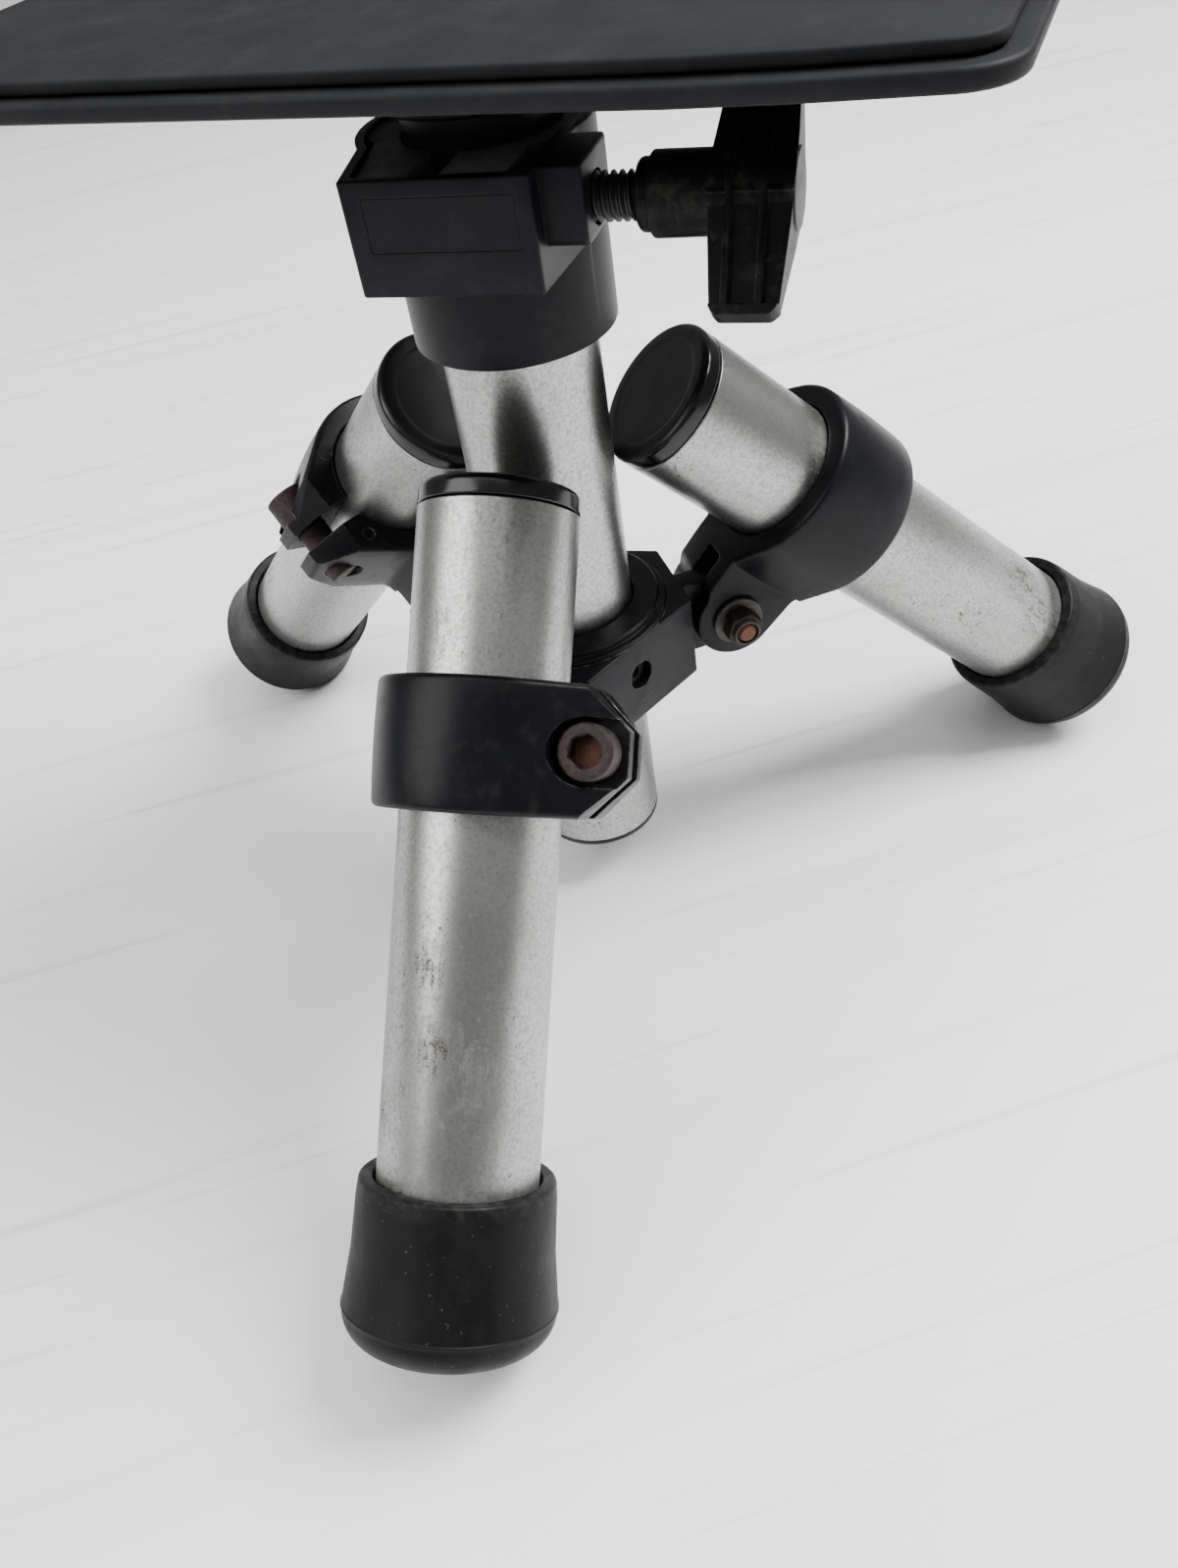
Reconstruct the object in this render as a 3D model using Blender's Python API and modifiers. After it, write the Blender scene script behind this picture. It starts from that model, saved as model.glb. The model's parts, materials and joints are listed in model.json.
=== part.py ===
"""Low tripod stand for a small loudspeaker.

A vertical aluminium column stands in a three-armed hub.  Three short tubular legs slide in
hinged split clamps on the hub's arms and bear on the column with their end caps.  A pole
telescopes in the column, is gripped by a split ring inside a moulded housing, and carries a
flat speaker plate.  Millimetres are used below and turned into metres by MM.
"""

import math

import bmesh
import bpy
from mathutils import Matrix, Vector

MM = 0.001
GAP = 0.3                     # running or seating gap left between neighbouring pieces

# column and its parts
COLUMN_Y = 33.3                # column axis behind the middle of the footprint
COLUMN_Z = 0.04               # lifts the lowest point of the feet onto the floor
TUBE_R = 16.0
TUBE_WALL = 1.2
COLUMN_LOW = 16.6
COLUMN_TOP = 168.3
PLUG_LOW = 15.0

# hub
HUB_LOW = 60.2
HUB_TOP = 81.5
HUB_FLAT = 23.9               # axis to each flat side
HUB_SHOULDER = 27.5           # axis to the shoulder behind each tongue
TONGUE_SIDE = -1.7            # tongue centre beside the leg's radial line
TONGUE_HALF = 3.0
TONGUE_R = 9.8
COLLAR = ((24.1, 82.6), (22.3, 84.3))
SET_SCREW_Z = 72.3
SET_SCREW_R = 3.2
SET_SCREW_SIDE = -1.4

# legs
LEG_NAMES = ("a", "b", "c")
LEG_AZIMUTH = (-90.0, 30.0, 150.0)
LEG_SLOPE = 44.75
HINGE_RADIUS = 39.35
HINGE_Z = 70.7
RING_RISE = 32.6              # hinge axis to the leg tube's axis
RING_SHIFT = 0.5
RING_R = 21.6
RING_HALF = 12.6
FORK_HALF = 9.7
FORK_GAP = (-5.0, 1.6)
FORK_ROOT = -22.6
CHEEK_R = 10.0
EAR_MID = -1.5
EAR_GAP = 2.5
EAR_END = 30.0
EAR_TIP_HALF = 6.3
EAR_CHAMFER = 8.2
BOLT_H = 23.2
BOLT_SEAT = 4.3
CAP_START = -45.95            # tube's upper end, measured from the ring's middle
CAP_LIP = 4.5
LEG_TUBE_END = 151.0          # measured from the tube's upper end
FOOT_RIM = 129.6
FOOT_SEAM = 154.45

# housing
HOUSING_TURN = -3.0
HOUSING_LOW = 150.4
BOX_LOW = 168.8
BOX_TOP = 188.3
SLEEVE_R = 20.4
BULGE_R = 22.9
BOX_FRONT = 29.8
RING_LOW = 171.4
RING_TOP = 187.6
CLAMP_N = 18.0                # clamp screw's axis in front of the column axis
CLAMP_Z = 180.5
WING_TILT = -45.0

# pole and head
POLE_R = 14.5
POLE_LOW = 30.0
POLE_TOP = 201.5
SOCKET_LOW = 193.0
PLATE_LOW = 205.3
PLATE_BEHIND = 10.0  # how much further the plate reaches behind the column than in front
PLATE_THICK = 3.0
PLATE_X = 194.0
PLATE_Y = 112.6
PLATE_STRAIGHT = 55.0         # half the straight stretch of the front and back edges
PLATE_BOW = 4.2               # how far those edges fall back at the corners
PLATE_TURN = -8.6
MAT_THICK = 2.0

STEPS = 40

for old in list(bpy.data.objects):
    bpy.data.objects.remove(old, do_unlink=True)

PARTS = bpy.data.collections.new("speaker_tripod_stand")
CUTTERS = bpy.data.collections.new("cutters")
bpy.context.scene.collection.children.link(PARTS)
bpy.context.scene.collection.children.link(CUTTERS)


def material(name, colour, roughness, metallic=0.0):
    mat = bpy.data.materials.new(name)
    mat.use_nodes = True
    bsdf = mat.node_tree.nodes["Principled BSDF"]
    bsdf.inputs["Base Color"].default_value = (*colour, 1.0)
    bsdf.inputs["Roughness"].default_value = roughness
    bsdf.inputs["Metallic"].default_value = metallic
    mat.diffuse_color = (*colour, 1.0)
    return mat


LOOKS = {
    "tube": ((0.66, 0.66, 0.65), 0.36, 1.0),
    "cast": ((0.018, 0.019, 0.022), 0.42, 0.0),
    "moulding": ((0.028, 0.030, 0.034), 0.45, 0.0),
    "knob": ((0.012, 0.012, 0.013), 0.5, 0.0),
    "cap": ((0.012, 0.012, 0.014), 0.28, 0.0),
    "rubber": ((0.015, 0.016, 0.018), 0.62, 0.0),
    "rusty": ((0.16, 0.085, 0.06), 0.6, 0.8),
    "zinc": ((0.17, 0.16, 0.13), 0.5, 0.9),
    "dark_steel": ((0.03, 0.03, 0.03), 0.4, 0.9),
    "ring": ((0.10, 0.105, 0.105), 0.55, 0.0),
    "pole": ((0.034, 0.035, 0.038), 0.38, 0.0),
    "label": ((0.02, 0.021, 0.023), 0.35, 0.0),
    "plate": ((0.02, 0.02, 0.022), 0.45, 0.0),
    "mat": ((0.012, 0.012, 0.012), 0.8, 0.0),
    "nylon": ((0.6, 0.6, 0.56), 0.5, 0.0),
}


def scaled(matrix):
    """A placement in millimetres as one in metres."""
    out = matrix.copy()
    out.translation = matrix.translation * MM
    return out


def add_object(name, mesh, collection):
    obj = bpy.data.objects.new(name, mesh)
    collection.objects.link(obj)
    if collection is CUTTERS:
        obj.hide_render = True
        obj.display_type = "WIRE"
    return obj


def face_outwards(bm):
    bmesh.ops.recalc_face_normals(bm, faces=bm.faces)
    if bm.calc_volume(signed=True) < 0:
        bmesh.ops.reverse_faces(bm, faces=bm.faces)


def finish_mesh(bm, name):
    mesh = bpy.data.meshes.new(name)
    face_outwards(bm)
    bm.to_mesh(mesh)
    bm.free()
    return mesh


def cylinder(name, radius, low, high, collection=CUTTERS, steps=STEPS, axis="Z"):
    """A closed cylinder along Z (or X or Y) between two heights."""
    bm = bmesh.new()
    bmesh.ops.create_cone(
        bm, cap_ends=True, segments=steps, radius1=radius * MM, radius2=radius * MM,
        depth=(high - low) * MM,
        matrix=Matrix.Translation((0, 0, (low + high) / 2 * MM)),
    )
    turn = {
        "Z": Matrix(),
        "X": Matrix.Rotation(math.pi / 2, 4, "Y"),
        "Y": Matrix.Rotation(-math.pi / 2, 4, "X"),
    }
    bm.transform(turn[axis])
    return add_object(name, finish_mesh(bm, name), collection)


def block(name, low, high, collection=CUTTERS):
    """A closed box between two corners."""
    bm = bmesh.new()
    bmesh.ops.create_cube(bm, size=1.0)
    size = Vector(high) - Vector(low)
    middle = (Vector(high) + Vector(low)) / 2
    bm.transform(Matrix.Translation(middle * MM) @ Matrix.Diagonal((*(size * MM), 1.0)))
    return add_object(name, finish_mesh(bm, name), collection)


def turned(name, profile, collection=CUTTERS, steps=STEPS, closed=True):
    """A solid of revolution about Z.  The profile of (radius, z) runs down its outer side."""
    bm = bmesh.new()
    verts = [bm.verts.new((r * MM, 0.0, z * MM)) for r, z in profile]
    for first, second in zip(verts, verts[1:]):
        bm.edges.new((first, second))
    if closed:
        bm.edges.new((verts[-1], verts[0]))
    mesh = bpy.data.meshes.new(name)
    bm.to_mesh(mesh)
    bm.free()
    obj = add_object(name, mesh, collection)
    screw = obj.modifiers.new("turn", "SCREW")
    screw.axis = "Z"
    screw.angle = 2 * math.pi
    screw.steps = steps
    screw.render_steps = steps
    screw.use_merge_vertices = True
    screw.merge_threshold = 0.00001
    return obj


def solid_from(obj, name, collection):
    """The evaluated object as a new mesh object, its loose caps welded."""
    bpy.context.view_layer.update()
    graph = bpy.context.evaluated_depsgraph_get()
    mesh = bpy.data.meshes.new_from_object(obj.evaluated_get(graph))
    bm = bmesh.new()
    bm.from_mesh(mesh)
    bmesh.ops.remove_doubles(bm, verts=bm.verts, dist=0.000001)
    face_outwards(bm)
    bm.to_mesh(mesh)
    bm.free()
    matrix = obj.matrix_world.copy()
    bpy.data.objects.remove(obj, do_unlink=True)
    new = add_object(name, mesh, collection)
    new.matrix_world = matrix
    return new


def flat(name, outline, low, high, collection=CUTTERS, axis="Z"):
    """A flat outline extruded from low to high along an axis.

    Z takes (x, y); X takes (y, z); Y takes (z, x).
    """
    curve = bpy.data.curves.new(name, "CURVE")
    curve.dimensions = "2D"
    curve.fill_mode = "BOTH"
    curve.extrude = (high - low) / 2 * MM
    spline = curve.splines.new("POLY")
    spline.points.add(len(outline) - 1)
    for point, (x, y) in zip(spline.points, outline):
        point.co = (x * MM, y * MM, 0.0, 1.0)
    spline.use_cyclic_u = True
    obj = add_object(name + "_outline", curve, collection)
    shift = Matrix.Translation((0, 0, (low + high) / 2 * MM))
    turn = {
        "Z": Matrix(),
        "X": Matrix(((0, 0, 1, 0), (1, 0, 0, 0), (0, 1, 0, 0), (0, 0, 0, 1))),
        "Y": Matrix(((0, 1, 0, 0), (0, 0, 1, 0), (1, 0, 0, 0), (0, 0, 0, 1))),
    }
    obj.matrix_world = turn[axis] @ shift
    new = solid_from(obj, name, collection)
    new.data.transform(new.matrix_world)
    new.matrix_world = Matrix()
    return new


def join(obj, other, operation):
    mod = obj.modifiers.new(operation.lower(), "BOOLEAN")
    mod.operation = operation
    mod.solver = "EXACT"
    mod.object = other


def add(obj, *others):
    for other in others:
        join(obj, other, "UNION")


def cut(obj, *others):
    for other in others:
        join(obj, other, "DIFFERENCE")


def keep(obj, *others):
    for other in others:
        join(obj, other, "INTERSECT")


def bevel(obj, width, segments=1, angle=40.0):
    mod = obj.modifiers.new("edge", "BEVEL")
    mod.width = width * MM
    mod.segments = segments
    mod.limit_method = "ANGLE"
    mod.angle_limit = math.radians(angle)


def bake(obj):
    """The modifiers applied, so that copies can share the mesh."""
    bpy.context.view_layer.update()
    graph = bpy.context.evaluated_depsgraph_get()
    mesh = bpy.data.meshes.new_from_object(obj.evaluated_get(graph))
    obj.modifiers.clear()
    obj.data = mesh
    return mesh


def part(name, mesh, look, parent, place=None):
    """One finished piece: its own object, material and placement under its parent."""
    obj = bpy.data.objects.new(name, mesh)
    PARTS.objects.link(obj)
    mat = material(name, *LOOKS[look])
    if not obj.data.materials:
        obj.data.materials.append(None)
    obj.material_slots[0].link = "OBJECT"
    obj.material_slots[0].material = mat
    obj.parent = parent
    if place is not None:
        obj.matrix_local = scaled(place)
    mesh.shade_smooth()
    mesh.set_sharp_from_angle(angle=math.radians(35))
    return obj


def empty(name, matrix, parent=None):
    obj = bpy.data.objects.new(name, None)
    obj.empty_display_size = 0.02
    PARTS.objects.link(obj)
    obj.parent = parent
    obj.matrix_local = scaled(matrix)
    return obj


def arc(radius, start, end, count, centre=(0.0, 0.0)):
    """Points on a circle from one angle to another, in degrees."""
    out = []
    for i in range(count + 1):
        a = math.radians(start + (end - start) * i / count)
        out.append((centre[0] + radius * math.cos(a), centre[1] + radius * math.sin(a)))
    return out


def polar(radius, degrees, z=0.0):
    a = math.radians(degrees)
    return Vector((radius * math.cos(a), radius * math.sin(a), z))


def about_z(degrees):
    return Matrix.Rotation(math.radians(degrees), 4, "Z")


def shift(x=0.0, y=0.0, z=0.0):
    """A move in millimetres, for a mesh in metres."""
    return Matrix.Translation((x * MM, y * MM, z * MM))


def tube_profile(outer, inner, low, high):
    return [(outer, high), (outer, low), (inner, low), (inner, high)]


def rounded(radius, low, high, top_round, bottom_round=0.0, count=4):
    """Outer side of a turned solid with rounded ends, top to bottom, closed on the axis."""
    points = [(0.0, high)]
    if top_round:
        for i in range(count + 1):
            a = math.radians(90 - 90 * i / count)
            across = radius - top_round + top_round * math.cos(a)
            points.append((across, high - top_round + top_round * math.sin(a)))
    else:
        points.append((radius, high))
    if bottom_round:
        for i in range(count + 1):
            a = math.radians(-90 * i / count)
            across = radius - bottom_round + bottom_round * math.cos(a)
            points.append((across, low + bottom_round + bottom_round * math.sin(a)))
    else:
        points.append((radius, low))
    points.append((0.0, low))
    return points


def hexagon(across_flats, turn=0.0):
    return arc(across_flats / 2 / math.cos(math.pi / 6), turn, turn + 300, 5)


STAND = empty("column_axis", Matrix.Translation((0, COLUMN_Y, COLUMN_Z)))

# ------------------------------------------------------------------ column
column = turned("column_tube_turned", tube_profile(TUBE_R, TUBE_R - TUBE_WALL, COLUMN_LOW, COLUMN_TOP))
part("column_tube", bake(column), "tube", STAND)
INSERT_R = TUBE_R - TUBE_WALL - GAP
plug = turned(
    "column_plug_turned",
    [
        (0, 24), (INSERT_R, 24), (INSERT_R, COLUMN_LOW - GAP), (TUBE_R, COLUMN_LOW - GAP),
        (TUBE_R, PLUG_LOW + 0.5), (TUBE_R - 0.5, PLUG_LOW), (0, PLUG_LOW),
    ],
    closed=False,
)
part("column_end_plug", bake(plug), "cap", STAND)


# --------------------------------------------------------------------- hub
def hub_outline():
    """Three flat sides with a square shoulder at each arm, seen from above."""
    corner = (HUB_FLAT - HUB_SHOULDER * math.cos(math.radians(60))) / math.sin(math.radians(60))
    points = []
    for azimuth in LEG_AZIMUTH:
        a = math.radians(azimuth)
        for side in (-corner, corner):
            points.append((
                HUB_SHOULDER * math.cos(a) - side * math.sin(a),
                HUB_SHOULDER * math.sin(a) + side * math.cos(a),
            ))
    return points


def hub_tongue(azimuth):
    """The flat arm that enters a leg bracket's fork, rounded about the hinge pin."""
    nose = arc(TONGUE_R, 62, -62, 10, (HINGE_RADIUS, HINGE_Z))
    outline = [(20.0, HUB_TOP - 0.8), (HUB_SHOULDER + 3.0, HUB_TOP - 0.8)] + nose
    outline += [(HUB_SHOULDER + 3.0, HUB_LOW + 0.8), (20.0, HUB_LOW + 0.8)]
    outline = [(z, x) for x, z in outline]
    tongue = flat("hub_tongue", outline, TONGUE_SIDE - TONGUE_HALF, TONGUE_SIDE + TONGUE_HALF, axis="Y")
    tongue.data.transform(about_z(azimuth))
    return tongue


hub = flat("hub_body", hub_outline(), HUB_LOW, HUB_TOP)
for azimuth in LEG_AZIMUTH:
    add(hub, hub_tongue(azimuth))
for index, (radius, top) in enumerate(COLLAR):
    add(hub, cylinder(f"hub_collar_{index}", radius, HUB_LOW + 5, top))
cut(hub, cylinder("hub_bore", TUBE_R + GAP, HUB_LOW - 5, HUB_TOP + 10))
for azimuth in LEG_AZIMUTH:
    pin = cylinder("hub_pin_hole", 2.75, -20, 20, steps=20, axis="Y")
    pin.data.transform(about_z(azimuth) @ shift(HINGE_RADIUS, 0, HINGE_Z))
    cut(hub, pin)
    screw_hole = cylinder("hub_screw_hole", SET_SCREW_R + GAP, 10, 40, steps=24, axis="X")
    screw_hole.data.transform(about_z(azimuth + 60) @ shift(0, SET_SCREW_SIDE, SET_SCREW_Z))
    cut(hub, screw_hole)
part("hub", bake(hub), "cast", STAND)

set_screw = turned(
    "set_screw_turned",
    [(0, 5.0), (SET_SCREW_R, 5.0), (SET_SCREW_R, 1.0), (SET_SCREW_R - 1.0, 0), (0, 0)],
    closed=False, steps=24,
)
cut(set_screw, flat("set_screw_key", hexagon(3.0), 2.6, 6))
set_screw_mesh = bake(set_screw)
for name, azimuth in zip(LEG_NAMES, LEG_AZIMUTH):
    screw_at = Matrix.Translation((TUBE_R + GAP + 0.5, SET_SCREW_SIDE, SET_SCREW_Z))
    outward = screw_at @ Matrix.Rotation(math.pi / 2, 4, "Y")
    place = about_z(azimuth + 60) @ outward
    part(f"hub_set_screw_{name}", set_screw_mesh, "dark_steel", STAND, place)

# ----------------------------------------------- one leg, about its hinge
# In a leg's own axes X runs along the hinge pin, Y up and out from the pin to the leg tube,
# and Z down the leg towards its foot.
RING_AT = Matrix.Translation((0, RING_RISE * MM, RING_SHIFT * MM))


def ear_tip(side):
    return (EAR_END, EAR_MID + side * EAR_TIP_HALF)


def tangent_angle(point, radius, side):
    """Angle at which a line from a point touches a circle about the origin."""
    away = math.hypot(*point)
    return math.degrees(math.atan2(point[1], point[0]) + side * math.acos(radius / away))


def bracket_outline():
    """The split ring with its two ears and the flare down to the fork, seen along the leg."""
    upper = ear_tip(1)
    lower = ear_tip(-1)
    start = tangent_angle(upper, RING_R, 1)
    fork = (-FORK_HALF, FORK_ROOT + 0.8)
    end = 360 + tangent_angle(fork, RING_R, -1)
    points = [upper] + arc(RING_R, start, end, 26)
    points += [fork, (FORK_HALF, FORK_ROOT + 0.8)]
    below = math.radians(tangent_angle(lower, RING_R, -1))
    points.append((RING_R * math.cos(below), RING_R * math.sin(below)))
    return points + [lower]


def cheek_outline():
    """Side view of the fork, as (along the leg, out from the pin) about the hinge pin."""
    top = RING_RISE - 12.0
    nose = arc(CHEEK_R, 180, 360, 14)
    points = [(-RING_HALF + RING_SHIFT, top), (-RING_HALF + RING_SHIFT, RING_RISE - 22.0), (-11.6, 2.4)]
    points += nose
    points += [
        (CHEEK_R + 0.6, RING_RISE - 22.5),
        (RING_HALF + RING_SHIFT, RING_RISE - 19.0),
        (RING_HALF + RING_SHIFT, top),
    ]
    return points


bracket = flat("bracket_ring", bracket_outline(), -RING_HALF, RING_HALF)
bracket.data.transform(RING_AT)
bevel(bracket, 0.9, 1, 50)
cheeks = flat("bracket_cheeks", [(y, z) for z, y in cheek_outline()], -FORK_HALF, FORK_HALF, axis="X")
add(bracket, cheeks)
bore = cylinder("bracket_bore", TUBE_R + GAP, -30, 30)
bore.data.transform(RING_AT)
split = block("bracket_split", (10, EAR_MID - EAR_GAP, -30), (45, EAR_MID + EAR_GAP, 30))
split.data.transform(RING_AT)
gap = block("bracket_fork_gap", (FORK_GAP[0], -20, -30), (FORK_GAP[1], RING_RISE + FORK_ROOT, 30))
pin_hole = cylinder("bracket_pin_hole", 2.75, -20, 20, steps=20, axis="X")
bolt_hole = cylinder("bracket_bolt_hole", 4.2, -20, 20, steps=24, axis="Y")
bolt_hole.data.transform(RING_AT @ shift(BOLT_H))
seat = cylinder("bracket_seat", 6.6, BOLT_SEAT, 30, steps=32, axis="Y")
seat.data.transform(RING_AT @ shift(BOLT_H))
seat_open = block("bracket_seat_open", (BOLT_H, BOLT_SEAT, -6.5), (45, 30, 6.5))
seat_open.data.transform(RING_AT)
cut(bracket, bore, split, gap, pin_hole, bolt_hole, seat, seat_open)
for side in (-1, 1):
    away = side * RING_HALF
    wedge = [
        (EAR_END - EAR_CHAMFER, away),
        (EAR_END + 2, side * (RING_HALF - EAR_CHAMFER - 2)),
        (EAR_END + 2, away * 1.5),
        (EAR_END - EAR_CHAMFER, away * 1.5),
    ]
    chamfer = flat("bracket_ear_chamfer", [(z, x) for x, z in wedge], -20, 20, axis="Y")
    chamfer.data.transform(RING_AT)
    cut(bracket, chamfer)
bracket_mesh = bake(bracket)

leg_tube = turned("leg_tube_turned", tube_profile(TUBE_R, TUBE_R - TUBE_WALL, 0, LEG_TUBE_END))
leg_tube_mesh = bake(leg_tube)

cap_top = rounded(TUBE_R, -GAP, CAP_LIP, 2.0)[:-1]
cap_stem = [(TUBE_R, GAP), (INSERT_R, GAP), (INSERT_R, -8), (0, -8)]
cap = turned("leg_cap_turned", cap_top[:-1] + cap_stem, closed=False)
cap_mesh = bake(cap)


def foot_profile():
    """Rubber cup: mouth up, slight flare to a seam, rounded sole."""
    round_r = 7.0
    seam = FOOT_RIM - FOOT_SEAM
    points = [(18.9, 0.0), (19.5, -0.8), (19.7, -2.0), (21.3, seam)]
    for degrees in (22.5, 45, 67.5, 90):
        a = math.radians(degrees)
        points.append((21.3 - round_r + round_r * math.cos(a), seam - round_r * math.sin(a)))
    points += [(0.0, seam - round_r), (0.0, FOOT_RIM - LEG_TUBE_END - GAP)]
    points += [(TUBE_R + GAP, FOOT_RIM - LEG_TUBE_END - GAP), (TUBE_R + GAP, -1.0), (TUBE_R + 0.8, 0.0)]
    return points


foot = turned("foot_turned", foot_profile())
foot_mesh = bake(foot)

HEAD_R = 5.45
HEAD_TALL = 7.4
clamp_bolt = turned(
    "clamp_bolt_turned",
    [
        (0, HEAD_TALL), (HEAD_R - 0.6, HEAD_TALL), (HEAD_R, HEAD_TALL - 0.6), (HEAD_R, 0),
        (3.9, 0), (3.9, -16.2), (3.1, -17), (0, -17),
    ],
    closed=False, steps=32,
)
cut(clamp_bolt, flat("clamp_bolt_key", hexagon(6.0), HEAD_TALL - 4.2, HEAD_TALL + 1))
clamp_bolt_mesh = bake(clamp_bolt)

WASHER = 1.0
NEAR = -FORK_HALF - GAP
FAR = FORK_HALF + GAP
hinge_bolt = flat("hinge_bolt_head", hexagon(8.0), FAR + WASHER + GAP, FAR + WASHER + GAP + 3.5)
shank = [(0, FAR + 3), (2.45, FAR + 3), (2.45, -16.0), (1.7, -16.8), (0, -16.8)]
add(hinge_bolt, turned("hinge_bolt_shank", shank, closed=False, steps=20))
hinge_bolt_mesh = bake(hinge_bolt)
NUT_TOP = NEAR - WASHER - GAP
NUT_TALL = 5.2
hinge_nut = flat("hinge_nut_body", hexagon(8.0), NUT_TOP - NUT_TALL - 1, NUT_TOP)
nut_crown = rounded(4.55, NUT_TOP - NUT_TALL, NUT_TOP + 1, 0, 0.8, 2)
keep(hinge_nut, turned("hinge_nut_crown", nut_crown, closed=False, steps=24))
cut(hinge_nut, cylinder("hinge_nut_hole", 2.75, -30, 30, steps=20))
hinge_nut_mesh = bake(hinge_nut)
washer = turned("hinge_washer_turned", tube_profile(6.2, 2.75, 0, WASHER), steps=32)
washer_mesh = bake(washer)

TO_PIN = Matrix.Rotation(math.pi / 2, 4, "Y")   # local Z onto the hinge pin, which is X
TO_OUT = Matrix.Rotation(-math.pi / 2, 4, "X")  # local Z away from the hinge pin
FLIP = Matrix.Rotation(math.pi, 4, "X")         # local Z onto the leg's upward direction
for name, azimuth in zip(LEG_NAMES, LEG_AZIMUTH):
    slope = math.radians(LEG_SLOPE)
    radial = polar(1, azimuth)
    along_pin = polar(1, azimuth + 90)
    down_leg = radial * math.cos(slope) - Vector((0, 0, math.sin(slope)))
    out = radial * math.sin(slope) + Vector((0, 0, math.cos(slope)))
    axes = Matrix((along_pin, out, down_leg)).transposed().to_4x4()
    pin_at = Matrix.Translation(polar(HINGE_RADIUS, azimuth, HINGE_Z))
    hinge = empty(f"leg_{name}_hinge", pin_at @ axes, STAND)
    on_leg = Matrix.Translation((0, RING_RISE, RING_SHIFT + CAP_START))
    part(f"leg_{name}_bracket", bracket_mesh, "cast", hinge)
    part(f"leg_{name}_tube", leg_tube_mesh, "tube", hinge, on_leg)
    part(f"leg_{name}_cap", cap_mesh, "cap", hinge, on_leg @ FLIP)
    at_foot = on_leg @ Matrix.Translation((0, 0, FOOT_RIM)) @ FLIP
    part(f"leg_{name}_foot", foot_mesh, "rubber", hinge, at_foot)
    bolt_at = Matrix.Translation((BOLT_H, RING_RISE + BOLT_SEAT + GAP, RING_SHIFT)) @ TO_OUT
    part(f"leg_{name}_clamp_bolt", clamp_bolt_mesh, "rusty", hinge, bolt_at)
    part(f"leg_{name}_hinge_bolt", hinge_bolt_mesh, "zinc", hinge, TO_PIN)
    part(f"leg_{name}_hinge_nut", hinge_nut_mesh, "zinc", hinge, TO_PIN)
    for side, start in (("near", NEAR - WASHER), ("far", FAR)):
        at_washer = Matrix.Translation((start, 0, 0)) @ TO_PIN
        part(f"leg_{name}_washer_{side}", washer_mesh, "zinc", hinge, at_washer)

# ----------------------------------------------------------------- housing
# In the housing's own axes X runs along the clamp screw and -Y is the front.
HOUSING = empty("housing_axes", Matrix.Rotation(math.radians(HOUSING_TURN), 4, "Z"), STAND)
housing = turned("housing_sleeve", rounded(SLEEVE_R, HOUSING_LOW, BOX_TOP, 0, 0.8, 2), closed=False)
bulge = cylinder("housing_bulge", BULGE_R, BOX_LOW, BOX_TOP)
keep(bulge, block("housing_bulge_side", (-40, -40, 160), (1.0, 40, 200)))
box_outline = [(-15.7, -BOX_FRONT), (18.0, -BOX_FRONT), (19.6, -4), (0, 4), (-20.5, -6)]
box = flat("housing_box", box_outline, BOX_LOW, BOX_TOP)
bevel(box, 0.6, 1)
boss_outline = [
    (-26.0, BOX_TOP), (-26.0, 175.0), (-15.0, 175.0), (-11.2, 177.5), (-10.0, 181.0), (-10.0, BOX_TOP),
]
boss = flat("housing_boss", boss_outline, 10.0, 25.6, axis="X")
bevel(boss, 0.8, 1)
add(housing, bulge, box, boss)
cut(housing, cylinder("housing_bore", TUBE_R + GAP, HOUSING_LOW - 5, COLUMN_TOP + GAP))
cut(housing, cylinder("housing_throat", POLE_R + 0.7, HOUSING_LOW, BOX_TOP + 5))
cut(housing, cylinder("housing_ring_space", 18.9, RING_LOW - GAP, BOX_TOP + 5))
wide = cylinder("housing_wide_space", 21.3, RING_LOW - GAP, BOX_TOP + 5)
keep(wide, block("housing_wide_side", (-40, -40, 160), (0.7, 40, 200)))
cut(housing, wide)
ear_outline = [(-13.9, -27.9), (16.2, -27.9), (17.4, -4), (0, 4), (-18.4, -6)]
cut(housing, flat("housing_ear_space", ear_outline, RING_LOW - GAP, BOX_TOP + 5))
screw_way = cylinder("housing_screw_hole", 4.4, 14, 30, steps=24, axis="X")
screw_way.data.transform(shift(0, -CLAMP_N, CLAMP_Z))
cut(housing, screw_way)
LABEL_LEFT, LABEL_RIGHT, LABEL_LOW, LABEL_TOP = (-12.0, 15.2, 176.5, 185.5)
recess_low = (LABEL_LEFT, -BOX_FRONT - 5, LABEL_LOW)
recess_high = (LABEL_RIGHT, -BOX_FRONT + 0.9, LABEL_TOP)
cut(housing, block("housing_label_recess", recess_low, recess_high))
part("clamp_housing", bake(housing), "moulding", HOUSING)
label = block(
    "label_blank",
    (LABEL_LEFT + GAP, -BOX_FRONT + 0.1, LABEL_LOW + GAP),
    (LABEL_RIGHT - GAP, -BOX_FRONT + 0.6, LABEL_TOP - GAP),
)
part("label_plate", bake(label), "label", HOUSING)


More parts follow.
